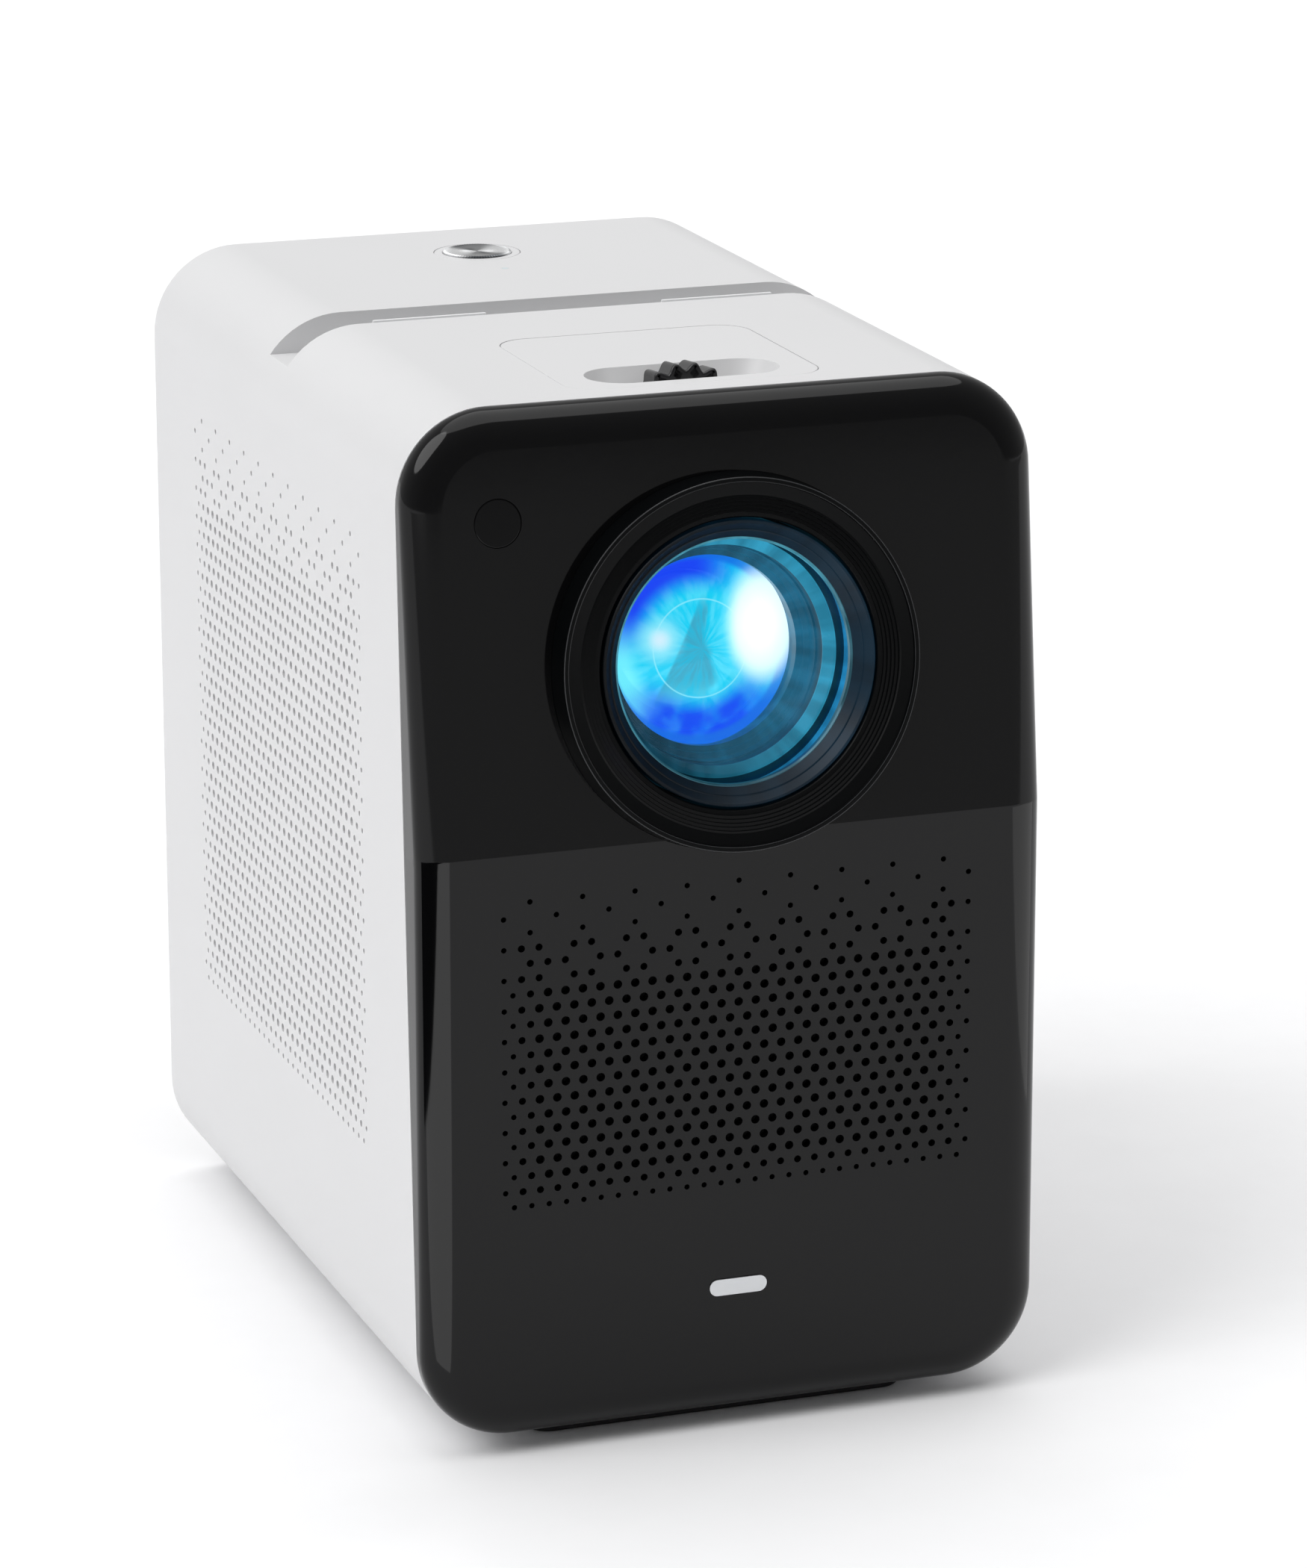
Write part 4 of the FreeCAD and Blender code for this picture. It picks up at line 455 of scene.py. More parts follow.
bezel = combine(bezel_form(0, 8.5 * MM, 6 * MM, 0),
                bezel_form(wall, 6 * MM, 5 * MM, 5 * MM))
collar_hole = 43.05 * MM
window_side, window_up = -54 * MM, 35.4 * MM
window_hole = 5.55 * MM
bezel = combine(bezel, rods([(on_lens(), collar_hole)], 30 * MM, lens_inward, 128))
bezel = combine(bezel, rods([(on_lens(window_side, window_up), window_hole)], 20 * MM, lens_inward, 48))
grille_columns, grille_rows = 27, 15
grille_low = sleeve_low.z + 56.4 * MM
grille = [(((column - grille_columns) * vent_pitch / 2, face_y, grille_low + row * vent_row),
           hole_radius(column, row, grille_columns, grille_rows))
          for column, row in staggered(grille_columns, grille_rows)]
bezel = combine(bezel, rods(grille, 14 * MM, (0, 1, 0), 16))
piece("bezel_shell", bezel, polished_abs, "housing", ("front_bezel",))

# Remote window: a round cover of smoked acrylic for the remote control's receiver, set flush in the
# upper face. It is a shade darker and smoother than the bezel round it.
smoked_acrylic = moulded_plastic("smoked_acrylic", "#050506", 0.1, 3, 0.001, Specular_IOR_Level=0.22)
window_thick = 3 * MM
window_middle = on_lens(window_side, window_up, window_thick / 2 + 0.05 * MM)
window = rods([(window_middle, window_hole - 0.1 * MM)], window_thick, lens_inward, 64)
piece("remote_window", soften(window, 0.25 * MM, 60), smoked_acrylic, "housing",
      ("receiver_window",))

# Badge: a plain bar of brushed aluminium with round ends, bonded to the lower face.
# Brushing runs along it, so its highlight spreads across.


def bare_metal(name, colour, roughness, stretch, **sockets):
    """Bare metal with fine marks; stretch gives the marks' size in millimetres along X, Y and Z."""
    made, tree, shader = new_material(name)
    shader.inputs["Metallic"].default_value = 1
    shader.inputs["Base Color"].default_value = linear(colour)
    place = node(tree, "ShaderNodeTexCoord")
    scaled = node(tree, "ShaderNodeMapping", {
        "Vector": place.outputs["Object"], "Scale": [1 / (size * MM) for size in stretch]})
    marks = node(tree, "ShaderNodeTexNoise", {"Vector": scaled.outputs[0], "Scale": 1, "Detail": 3})
    worn = node(tree, "ShaderNodeMapRange", {
        "Value": marks.outputs[0], "To Min": roughness * 0.75, "To Max": roughness * 1.3})
    tree.links.new(worn.outputs[0], shader.inputs["Roughness"])
    bump = node(tree, "ShaderNodeBump", {
        "Height": marks.outputs[0], "Strength": 0.3, "Distance": 0.01 * MM})
    tree.links.new(bump.outputs[0], shader.inputs["Normal"])
    for socket, number in sockets.items():
        shader.inputs[socket.replace("_", " ")].default_value = number
    return made


brushed_aluminium = bare_metal("brushed_aluminium", "#d2d4d6", 0.3, (6, 0.15, 0.15))
badge_low, badge_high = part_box("front_badge")
badge = soften(block(badge_low, badge_high, (badge_high.z - badge_low.z) / 2.02, 12), 0.12 * MM)
piece("badge_bar", badge, brushed_aluminium, "housing", ("front_badge",))

# Lens collar: a black polycarbonate ring that stands in front of the upper face. Its funnel is
# turned with shallow steps that keep stray light out of the lens, and each step's edge shines.


def turned(outline):
    """A closed outline of radius and depth in millimetres, spun about the lens axis."""
    shape = bmesh.new()
    verts = [shape.verts.new((radius * MM, 0, depth * MM)) for radius, depth in outline]
    edges = [shape.edges.new((vert, verts[index - 1])) for index, vert in enumerate(verts)]
    bmesh.ops.spin(shape, geom=verts + edges, cent=(0, 0, 0), axis=(0, 0, 1), angle=math.tau,
                   steps=128, use_merge=True)
    bmesh.ops.remove_doubles(shape, verts=shape.verts, dist=1e-7)
    bmesh.ops.recalc_face_normals(shape, faces=shape.faces)
    return shape


def into_lens(shape, up=0):
    """Puts a piece made about Z on the lens axis, or on a line above it."""
    turn = Matrix.Rotation(-math.pi / 2 - lens_tilt, 4, "X")
    bmesh.ops.transform(shape, matrix=Matrix.Translation(on_lens(0, up)) @ turn, verts=shape.verts)
    return shape


black_polycarbonate = moulded_plastic("black_polycarbonate", "#050607", 0.3, 2, 0.004,
                                      Specular_IOR_Level=0.12)
collar_outline = [
    (33, 5.5), (46.5, 5.5), (46.5, 3.5), (43, 3.5), (43, 0), (42.45, -6.3), (42.35, -6.8), (42.1, -7),
    (41.4, -7), (41.15, -6.85), (41, -6.3), (38.2, -5.9),
]
funnel_steps = 5
for step in range(funnel_steps):
    ring = 37.7 - 0.85 * step
    floor_depth = -5.9 + 0.26 * step
    collar_outline += [(ring + 0.12, floor_depth - 0.12), (ring, floor_depth - 0.12),
                       (ring - 0.1, floor_depth + 0.2)]
collar_outline += [(33.3, -4.6), (33, -4.3)]
piece("collar_ring", into_lens(turned(collar_outline)), black_polycarbonate, "housing",
      ("lens_collar",), 20)
# Painted highlights: two thin grey rings on the black lip stand in for its shine.
collar_lip_highlight = moulded_plastic("painted_highlight_lip_polycarbonate", "#3a3b3d", 0.2, 2, 0.002)
for name, near_radius, depth in (("collar_lip_outer_highlight", 42.2, -6.9), ("collar_lip_inner_highlight", 41.3, -6.85)):
    line = turned([(near_radius + 0.12, depth), (near_radius + 0.08, depth - 0.08),
                   (near_radius - 0.08, depth - 0.08), (near_radius - 0.12, depth)])
    piece(name, into_lens(line), collar_lip_highlight, "housing")

# Lens barrel: a blackened aluminium tube that slides to focus, with fine baffle grooves in its
# mouth. The lamp's cyan light on its inner wall is painted on as glow, more the deeper it is.


def lens_axis_place(tree):
    """A point's place from the lens axis: side, up and depth, in metres."""
    place = node(tree, "ShaderNodeTexCoord")
    moved = node(tree, "ShaderNodeVectorMath", {0: place.outputs["Object"], 1: lens_point},
                 operation="SUBTRACT")
    parts = [node(tree, "ShaderNodeVectorMath", {0: moved.outputs[0], 1: axis},
                  operation="DOT_PRODUCT").outputs["Value"]
             for axis in (Vector((1, 0, 0)), lens_up, lens_inward)]
    return parts


def math_node(tree, operation, *values):
    """One step of arithmetic between values or outputs."""
    return node(tree, "ShaderNodeMath", dict(enumerate(values)), operation=operation).outputs[0]


def smooth_range(tree, given, start, end, low=0, high=1):
    """Eases a value from low to high between a start and an end."""
    return node(tree, "ShaderNodeMapRange", {
        "Value": given, "From Min": start, "From Max": end, "To Min": low, "To Max": high},
        interpolation_type="SMOOTHSTEP").outputs[0]


def painted_lamp_glow_metal(name, colour, roughness, towards, glow, strength, least=0.1, depths=(-9, -8)):
    """Dark metal with the lamp's light painted on as glow, most on the side towards an angle in degrees."""
    made, tree, shader = new_material(name)
    side, up, depth = lens_axis_place(tree)
    shader.inputs["Metallic"].default_value = 0.6
    shader.inputs["Roughness"].default_value = roughness
    shader.inputs["Base Color"].default_value = linear(colour)
    angle = math_node(tree, "ARCTAN2", up, side)
    facing = math_node(tree, "COSINE", math_node(tree, "SUBTRACT", angle, math.radians(towards)))
    share = smooth_range(tree, facing, -1, 1, least, 1)
    rays_at = node(tree, "ShaderNodeCombineXYZ", {
        "X": math_node(tree, "COSINE", angle), "Y": math_node(tree, "SINE", angle),
        "Z": math_node(tree, "MULTIPLY", depth, 12)})
    rays = node(tree, "ShaderNodeTexNoise", {"Vector": rays_at.outputs[0], "Scale": 5, "Detail": 3})
    streak = smooth_range(tree, rays.outputs[0], 0.3, 0.7, 0.6, 1.15)
    deep = smooth_range(tree, depth, depths[0] * MM, depths[1] * MM, 0.25, 1)
    # Painted lamp light: emission stands in for the light that falls on the metal, in rays and deeper in.
    painted_glow_power = math_node(tree, "MULTIPLY", math_node(tree, "MULTIPLY", share, streak),
                      math_node(tree, "MULTIPLY", deep, strength))
    shader.inputs["Emission Color"].default_value = linear(glow)
    tree.links.new(painted_glow_power, shader.inputs["Emission Strength"])
    return made


barrel_metal = painted_lamp_glow_metal("blackened_aluminium", "#0b1216", 0.3, 0, "#2f88a8", 0.55, 0.2, (8, 16))
barrel_outline = [(28.9, 7.6), (28.9, 0.5), (32.4, 0.5), (32.4, 51.9), (25.2, 51.9), (25.2, 43.9),
                  (23, 43.9), (23, 20.5), (21.9, 20.5), (21.9, 18), (23.2, 17.6), (23.4, 16.6),
                  (24.6, 16.2), (24.8, 13.4), (25.2, 13.1), (25.2, 9.9)]
piece("barrel_tube", into_lens(turned(barrel_outline)), barrel_metal, "lens_carriage",
      ("lens_barrel",), 20)
# The seat ring's cyan light is painted on as glow too.
seat_metal = painted_lamp_glow_metal("polished_lens_seat", "#1c3a46", 0.2, 20, "#48b4d0", 0.8, 0.12)
seat_outline = [(27.6, 7.65), (27.75, 7.8), (27.75, 9.9), (25.2, 9.9), (25.2, 9.6), (25.4, 9.4),
                (27.4, 7.65)]
piece("lens_seat_ring", into_lens(turned(seat_outline)), seat_metal, "lens_carriage", (), 20)

# Front retainer: a conical ring that holds the front lens in the barrel, with a polished inner edge.
# The black cone is satin, with a faint painted glow of lamp light. Its thin edge carries a painted cyan glint of
# the light inside.
retainer_metal = painted_lamp_glow_metal("anodised_retainer", "#070b10", 0.4, 0, "#1b4a66", 0.22, 0.01)
retainer_outline = [(32.4, 0.5), (32.4, -4.6), (32.2, -4.8), (31.7, -4.8), (31.5, -4.6), (30.3, -3.2),
                    (30.1, -3.25), (29.9, -3.2), (28.3, -1.3), (28.3, 0.5)]
piece("retainer_cone", into_lens(turned(retainer_outline)), retainer_metal, "lens_carriage",
      ("lens_retainer",), 20)
# Painted highlight: the thin edge ring is a lighter, glowing copy of the retainer's metal.
retainer_edge_painted_glint = painted_lamp_glow_metal("retainer_edge_painted_glint_metal", "#20404c", 0.15, 120, "#5fb8d0", 0.6, 0.1)
edge_outline = [(28.28, -1.28), (28.1, -1.3), (27.75, -0.9), (27.75, 0.4), (28.28, 0.4)]
piece("retainer_edge", into_lens(turned(edge_outline)), retainer_edge_painted_glint, "lens_carriage", (), 20)

# Front lens: coated crown glass, convex in front and flat behind. It is clear, with a bluish
# reflection from its coating, and faint haze varies how sharp that reflection is.
coated_glass, glass_tree, glass_shader = new_material("coated_crown_glass")
glass_tree.nodes.remove(glass_shader)
glass_sight = node(glass_tree, "ShaderNodeBsdfTransparent", {"Color": linear("#e8f8ff")})
glass_place = node(glass_tree, "ShaderNodeTexCoord")
glass_haze = node(glass_tree, "ShaderNodeTexNoise", {
    "Vector": glass_place.outputs["Object"], "Scale": 1 / (12 * MM), "Detail": 2})
glass_shine = node(glass_tree, "ShaderNodeBsdfGlossy", {
    "Color": linear("#bfe0ff"),
    "Roughness": node(glass_tree, "ShaderNodeMapRange", {
        "Value": glass_haze.outputs[0], "To Min": 0.0, "To Max": 0.04}).outputs[0]})
glass_edge = node(glass_tree, "ShaderNodeFresnel", {"IOR": 1.25})
glass_both = node(glass_tree, "ShaderNodeMixShader", {
    0: glass_edge.outputs[0], 1: glass_sight.outputs[0], 2: glass_shine.outputs[0]})
glass_tree.links.new(glass_both.outputs[0], glass_tree.nodes["Material Output"].inputs["Surface"])


def lens_outline(radius, near, far, front_curve, back_curve):
    """A lens outline from its axis to its edge and back, each surface an arc or flat."""
    steps = 10
    outline = []
    for step in range(steps + 1):
        reach = radius * step / steps
        sag = front_curve - math.sqrt(front_curve ** 2 - reach ** 2) if front_curve else 0
        outline.append((reach, near + sag))
    for step in range(steps, -1, -1):
        reach = radius * step / steps
        sag = back_curve - math.sqrt(back_curve ** 2 - reach ** 2) if back_curve else 0
        outline.append((reach, far - sag))
    return outline


piece("front_glass", into_lens(turned(lens_outline(28.8, -2.6, 7.5, 90, None))), coated_glass,
      "lens_carriage", ("front_lens",), 40)

# Inner lens: the glass that carries the lit picture, its light painted on as glow. It is white hot on the right
# and in a spot on the left, cyan in the middle and blue along its rim, with a fine ring and a painted shadow in a
# wedge.
lit_glass, lit_tree, lit_shader = new_material("lit_inner_glass")
side, up = lens_axis_place(lit_tree)[:2]


def spot(side_mm, up_mm, wide, high, start=1.0, end=0.0):
    """How near a point is to an oval spot beside the lens axis: one inside, falling to nothing."""
    across = math_node(lit_tree, "DIVIDE", math_node(lit_tree, "SUBTRACT", side, side_mm * MM), wide * MM)
    above = math_node(lit_tree, "DIVIDE", math_node(lit_tree, "SUBTRACT", up, up_mm * MM), high * MM)
    far = math_node(lit_tree, "SQRT", math_node(lit_tree, "ADD", math_node(lit_tree, "POWER", across, 2),
                                                math_node(lit_tree, "POWER", above, 2)))
    return smooth_range(lit_tree, far, start, end)


def tinted(below, share, colour):
    """One colour laid over another by a share."""
    return node(lit_tree, "ShaderNodeMixRGB", {0: share, 1: below, 2: linear(colour)}).outputs[0]


def times(*shares):
    """Several shares multiplied together."""
    total = shares[0]
    for share in shares[1:]:
        total = math_node(lit_tree, "MULTIPLY", total, share)
    return total


reach = math_node(lit_tree, "DIVIDE", math_node(lit_tree, "SQRT", math_node(
    lit_tree, "ADD", math_node(lit_tree, "POWER", side, 2), math_node(lit_tree, "POWER", up, 2))), MM)
angle = math_node(lit_tree, "ARCTAN2", up, side)
ray_place = node(lit_tree, "ShaderNodeCombineXYZ", {
    "X": math_node(lit_tree, "COSINE", angle), "Y": math_node(lit_tree, "SINE", angle),
    "Z": math_node(lit_tree, "MULTIPLY", reach, 0.03)})
rays = node(lit_tree, "ShaderNodeTexNoise", {"Vector": ray_place.outputs[0], "Scale": 6, "Detail": 3})
streaks = smooth_range(lit_tree, rays.outputs[0], 0.35, 0.65)
clouds = node(lit_tree, "ShaderNodeTexNoise", {
    "Vector": node(lit_tree, "ShaderNodeTexCoord").outputs["Object"], "Scale": 1 / (9 * MM), "Detail": 3})
cloud = smooth_range(lit_tree, clouds.outputs[0], 0.35, 0.65)
# All this glass's light is painted: its emission colour is built from the tints, streaks and spots below.
middle = tinted(linear("#12dcf6"), times(streaks, 0.5), "#7ff4ff")
outer_left = math_node(lit_tree, "COSINE", math_node(lit_tree, "SUBTRACT", angle, math.radians(200)))
pale = times(smooth_range(lit_tree, outer_left, 0.55, 0.95), smooth_range(lit_tree, reach, 14, 18))
upper = math_node(lit_tree, "COSINE", math_node(lit_tree, "SUBTRACT", angle, math.radians(118)))
lower = math_node(lit_tree, "COSINE", math_node(lit_tree, "SUBTRACT", angle, math.radians(272)))
blue_above = times(smooth_range(lit_tree, upper, 0.35, 0.9), smooth_range(lit_tree, reach, 12, 18))
blue_below = times(smooth_range(lit_tree, lower, 0.3, 0.9), smooth_range(lit_tree, reach, 10, 16))
shade = tinted(middle, pale, "#86fbff")
shade = tinted(shade, blue_above, "#1f46f4")
shade = tinted(shade, times(blue_below, smooth_range(lit_tree, cloud, -1.5, 0.6)), "#1450f4")
shade = tinted(shade, times(smooth_range(lit_tree, reach, 19.6, 21), 0.85), "#1673e4")
left_side = smooth_range(lit_tree, math_node(lit_tree, "SUBTRACT", side, math_node(
    lit_tree, "MULTIPLY", up, 0.5)), -5.8 * MM, -4.9 * MM)
right_side = smooth_range(lit_tree, math_node(lit_tree, "SUBTRACT", side, math_node(
    lit_tree, "MULTIPLY", cloud, 2.5 * MM)), 2.4 * MM, -0.4 * MM)
# Painted shadow: a wedge of dimmer colour across the lit glass.
painted_shadow_wedge = times(left_side, right_side, smooth_range(lit_tree, up, 13 * MM, 8 * MM),
              smooth_range(lit_tree, up, -14 * MM, -6 * MM))
shade = tinted(shade, times(painted_shadow_wedge, smooth_range(lit_tree, streaks, -0.5, 1.4, 0.4, 0.8)), "#3f9cb4")
ring_far = math_node(lit_tree, "ABSOLUTE", math_node(lit_tree, "SUBTRACT", reach, 11.3))
shade = tinted(shade, times(smooth_range(lit_tree, ring_far, 0.28, 0.05), 0.6), "#b8ffff")
shade = tinted(shade, spot(-9.7, 2.7, 7, 7), "#c8ffff")
shade = tinted(shade, spot(-9.7, 2.7, 3.4, 3.4), "#ffffff")
shade = tinted(shade, spot(15, 3, 13, 18), "#a0faff")
shade = tinted(shade, spot(16, 4, 11, 15, 1.0, 0.6), "#ffffff")
lit_shader.inputs["Base Color"].default_value = linear("#05121a")
lit_shader.inputs["Roughness"].default_value = 0.05
lit_tree.links.new(shade, lit_shader.inputs["Emission Color"])
lit_power = math_node(lit_tree, "ADD", times(spot(15, 4, 12, 15), 0.8), 1.0)
lit_tree.links.new(lit_power, lit_shader.inputs["Emission Strength"])
piece("inner_glass", into_lens(turned(lens_outline(22.9, 20.6, 32.6, 60, 60))), lit_glass,
      "lens_carriage", ("inner_lens",), 40)

# Focus panel: a flush ABS panel in the top, with a finger recess that has sloping walls and round
# ends, and a slot in its floor for the wheel. A hairline gap runs round it.


def recess_form(margin):
    """The finger recess, or its outside: a stadium at the top that steps in and down to its floor."""
    rolled_edge = 0.25 * MM
    half = 8.7 * MM + margin
    long = 23 * MM + margin
    deep = 5 * MM + margin
    shape = upright((-long - rolled_edge, recess_y - half - rolled_edge, sleeve_high.z),
                    (long + rolled_edge, recess_y + half + rolled_edge, sleeve_high.z + 3 * MM),
                    half + 0.24 * MM, 14)
    low_face = min(shape.faces, key=lambda face: face.calc_center_median().z)
    wall_steps = ((0.2, 0.08), (0.1, 0.2), (2.25, deep / MM - 0.85), (0.25, 0.32), (0.4, 0.25))
    for step_in, step_down in wall_steps:
        bmesh.ops.inset_region(shape, faces=[low_face], thickness=step_in * MM, depth=step_down * MM)
    return shape


recess_y = face_y + 38 * MM
sleeve_under = sleeve_high.z - wall
panel_plate = upright(
    (panel_low.x + panel_flange, panel_low.y + panel_flange, sleeve_under - 0.5 * MM),
    (panel_high.x - panel_flange, panel_high.y - panel_flange, sleeve_high.z), panel_corner)
panel_plate = soften(panel_plate, 0.2 * MM, 60)
panel_plate = combine(panel_plate, upright(
    (panel_low.x, panel_low.y, sleeve_under - 1.5 * MM),
    (panel_high.x, panel_high.y, sleeve_under - 0.02 * MM), panel_corner + panel_flange), "UNION")
recess_outside = combine(recess_form(1.6 * MM), upright(
    (-1, -1, sleeve_high.z - 0.5 * MM), (1, 1, 1), 0))
panel_plate = combine(panel_plate, recess_outside, "UNION")
panel_plate = combine(panel_plate, recess_form(0))
wheel_slot_long, wheel_slot_wide = 28.4 * MM, 10.6 * MM
panel_plate = combine(panel_plate, upright(
    (-wheel_slot_long / 2, recess_y - wheel_slot_wide / 2, sleeve_high.z - 20 * MM),
    (wheel_slot_long / 2, recess_y + wheel_slot_wide / 2, sleeve_high.z), 2 * MM))
piece("focus_panel_plate", panel_plate, white_abs, "housing", ("focus_panel",))

# Focus wheel: a thumb wheel moulded in smoke-black polycarbonate, with eighteen rounded lobes for
# grip. It shines softly, and its lobes catch a light line each.
smoke_polycarbonate = moulded_plastic("smoke_polycarbonate", "#151517", 0.26, 1.2, 0.006)
wheel_joint = focus["focus_wheel_turn"]
wheel_up = (Vector(wheel_joint["pos_m"]) - lens_point).dot(lens_up)
wheel_near, wheel_far = 24.5 * MM, 32.5 * MM
lobes = 18
lobe_foot, lobe_height = 12.2, 1.8
wheel = bmesh.new()
rim = bmesh.ops.create_circle(wheel, cap_ends=True, segments=12 * lobes, radius=1)["verts"]
for vert in rim:
    turn = math.atan2(vert.co.y, vert.co.x)
    swell = 0.5 + 0.5 * math.cos(lobes * turn)
    vert.co *= (lobe_foot + lobe_height * swell ** 0.8) * MM
bmesh.ops.translate(wheel, vec=(0, 0, wheel_near), verts=wheel.verts)
raised = bmesh.ops.extrude_face_region(wheel, geom=list(wheel.faces))
bmesh.ops.translate(wheel, vec=(0, 0, wheel_far - wheel_near),
                    verts=[item for item in raised["geom"] if isinstance(item, bmesh.types.BMVert)])
bmesh.ops.recalc_face_normals(wheel, faces=wheel.faces)
soften(wheel, 0.7 * MM, 60, 4)
for disc in [face for face in wheel.faces if len(face.verts) > 20]:
    bmesh.ops.inset_region(wheel, faces=[disc], thickness=2.2 * MM)
    bmesh.ops.inset_region(wheel, faces=[disc], thickness=0.5 * MM, depth=-0.8 * MM)
piece("thumb_wheel_disc", into_lens(wheel, wheel_up), smoke_polycarbonate, "thumb_wheel",
      ("focus_wheel",))

# Power button: a cap turned from aluminium, knurled round its edge and spun on its face, in a trim
# ring of the sleeve's plastic. Spun rings split the light into a bow tie, and this bow tie is a painted
# reflection: the metal's base colour brightens and darkens twice round the face.
spun_aluminium, spun_tree, spun_shader = new_material("spun_aluminium")
spun_shader.inputs["Metallic"].default_value = 1
spun_shader.inputs["Anisotropic"].default_value = 0.9
spun_place = node(spun_tree, "ShaderNodeTexCoord")
spun_moved = node(spun_tree, "ShaderNodeVectorMath", {
    0: spun_place.outputs["Object"], 1: (0, button_middle.y, 0)}, operation="SUBTRACT")
spun_tangent = node(spun_tree, "ShaderNodeVectorMath", {0: spun_moved.outputs[0], 1: (0, 0, 1)},
                    operation="CROSS_PRODUCT")
spun_way = node(spun_tree, "ShaderNodeVectorMath", {0: spun_tangent.outputs[0]}, operation="NORMALIZE")
spun_tree.links.new(spun_way.outputs[0], spun_shader.inputs["Tangent"])
spun_parts = node(spun_tree, "ShaderNodeSeparateXYZ", {0: spun_moved.outputs[0]})
spun_angle = math_node(spun_tree, "ARCTAN2", spun_parts.outputs["Y"], spun_parts.outputs["X"])
# Painted reflection: the bow tie is put into the base colour, dark and light twice round the cap.
bow_tie_painted_reflection = math_node(spun_tree, "COSINE", math_node(spun_tree, "MULTIPLY", spun_angle, 2))
colour_with_painted_bow_tie = node(spun_tree, "ShaderNodeMixRGB", {
    0: smooth_range(spun_tree, bow_tie_painted_reflection, -0.75, 0.6), 1: linear("#5c5e61"), 2: linear("#f2f3f4")})
spun_tree.links.new(colour_with_painted_bow_tie.outputs[0], spun_shader.inputs["Base Color"])
spun_rings = node(spun_tree, "ShaderNodeTexWave", {
    "Vector": spun_moved.outputs[0], "Scale": 1 / (0.9 * MM) / 20, "Distortion": 0.4},
    wave_type="RINGS", rings_direction="Z")
spun_rough = node(spun_tree, "ShaderNodeMapRange", {
    "Value": spun_rings.outputs["Fac"], "To Min": 0.2, "To Max": 0.34})
spun_tree.links.new(spun_rough.outputs[0], spun_shader.inputs["Roughness"])
button_low, button_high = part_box("power_button")
teeth = 72
cap_radius, tooth_foot = 8.45, 8.1
cap = bmesh.new()
cap_rim = bmesh.ops.create_circle(cap, cap_ends=True, segments=2 * teeth, radius=cap_radius * MM)["verts"]
for index, vert in enumerate(cap_rim):
    if index % 2:
        vert.co *= tooth_foot / cap_radius
bmesh.ops.translate(cap, vec=(0, button_middle.y, button_low.z), verts=cap.verts)
raised = bmesh.ops.extrude_face_region(cap, geom=list(cap.faces))
bmesh.ops.translate(cap, vec=(0, 0, button_high.z - button_low.z - 0.25 * MM),
                    verts=[item for item in raised["geom"] if isinstance(item, bmesh.types.BMVert)])
bmesh.ops.recalc_face_normals(cap, faces=cap.faces)
cap_top = max((face for face in cap.faces if len(face.verts) > 20),
              key=lambda face: face.calc_center_median().z)
dish_steps = ((0.35, 0.25), (0.25, -0.08), (2.5, -0.12), (2.5, -0.05))
for step_in, step_up in dish_steps:
    bmesh.ops.inset_region(cap, faces=[cap_top], thickness=step_in * MM, depth=step_up * MM)
piece("button_cap", cap, spun_aluminium, "button", ("power_button",))
trim_outline = [(8.6, 0.2), (8.8, 0), (10.5, 0), (10.7, 0.2), (10.7, 2.5), (12.5, 2.5), (12.5, 4),
                (8.6, 4)]
trim = turned(trim_outline)
bmesh.ops.transform(trim, matrix=Matrix.Translation((0, button_middle.y, sleeve_high.z))
                    @ Matrix.Rotation(math.pi, 4, "X"), verts=trim.verts)
piece("button_trim", trim, white_abs, "housing", ("button_ring",), 20)

# Slot pads: two soft white silicone strips on the front edge of the tablet slot.
# Silicone is satin, and a touch lighter than the sleeve.
white_silicone = moulded_plastic("white_silicone", "#e4e5e6", 0.5, 0.8, 0.006)
pads_low, pads_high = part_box("slot_pads")
pads_apart = 22 * MM
for name, start, end in (("slot_pad_left", pads_low.x, -pads_apart),
                         ("slot_pad_right", pads_apart, pads_high.x)):
    pad = soften(block((start, pads_low.y, pads_low.z), (end, pads_high.y, pads_high.z)), 0.3 * MM)
    pad_piece = piece(name, pad, white_silicone, "housing")
    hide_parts("slot_pads")

# Feet: two strips of black rubber with round ends, bonded under the sleeve.
# Rubber is matte and slightly rough, and the strips' edges are broadly rounded.
black_rubber = moulded_plastic("black_rubber", "#161617", 0.8, 0.6, 0.02)
for name in ("foot_front", "foot_rear"):
    foot_low, foot_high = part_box(name)
    foot = upright(foot_low, foot_high, (foot_high.y - foot_low.y) / 2.02, 12)
    piece(name + "_strip", soften(foot, 0.8 * MM, 60, 3), black_rubber, "housing", (name,))

# Rear cover: a fine-grained black ABS plate set into the sleeve, with slots for the fan's air and
# cut-outs for the sockets, held by four screws in round holes.
grained_abs = moulded_plastic("grained_black_abs", "#232426", 0.5, 0.6, 0.02)
cover_low, cover_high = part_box("rear_cover")
cover_thick = 3 * MM
cover_y = cover_high.y - cover_thick
cover = block((cover_low.x, cover_y, cover_low.z), cover_high, corner - wall - 0.2 * MM)
fan_point = Vector(focus["fan_spin"]["pos_m"])
fan_slots = 7
fan_slot_pitch = 9.5
fan_slot_half, fan_slot_rise = 38 * MM, 2 * MM
for index in range(fan_slots):
    slot_z = fan_point.z + (index - fan_slots // 2) * fan_slot_pitch * MM
    cover = combine(cover, block((-fan_slot_half, cover_y - wall, slot_z - fan_slot_rise),
                                 (fan_slot_half, cover_high.y + wall, slot_z + fan_slot_rise),
                                 fan_slot_rise - 0.02 * MM, 6))
video_port_wide = 15.2 * MM
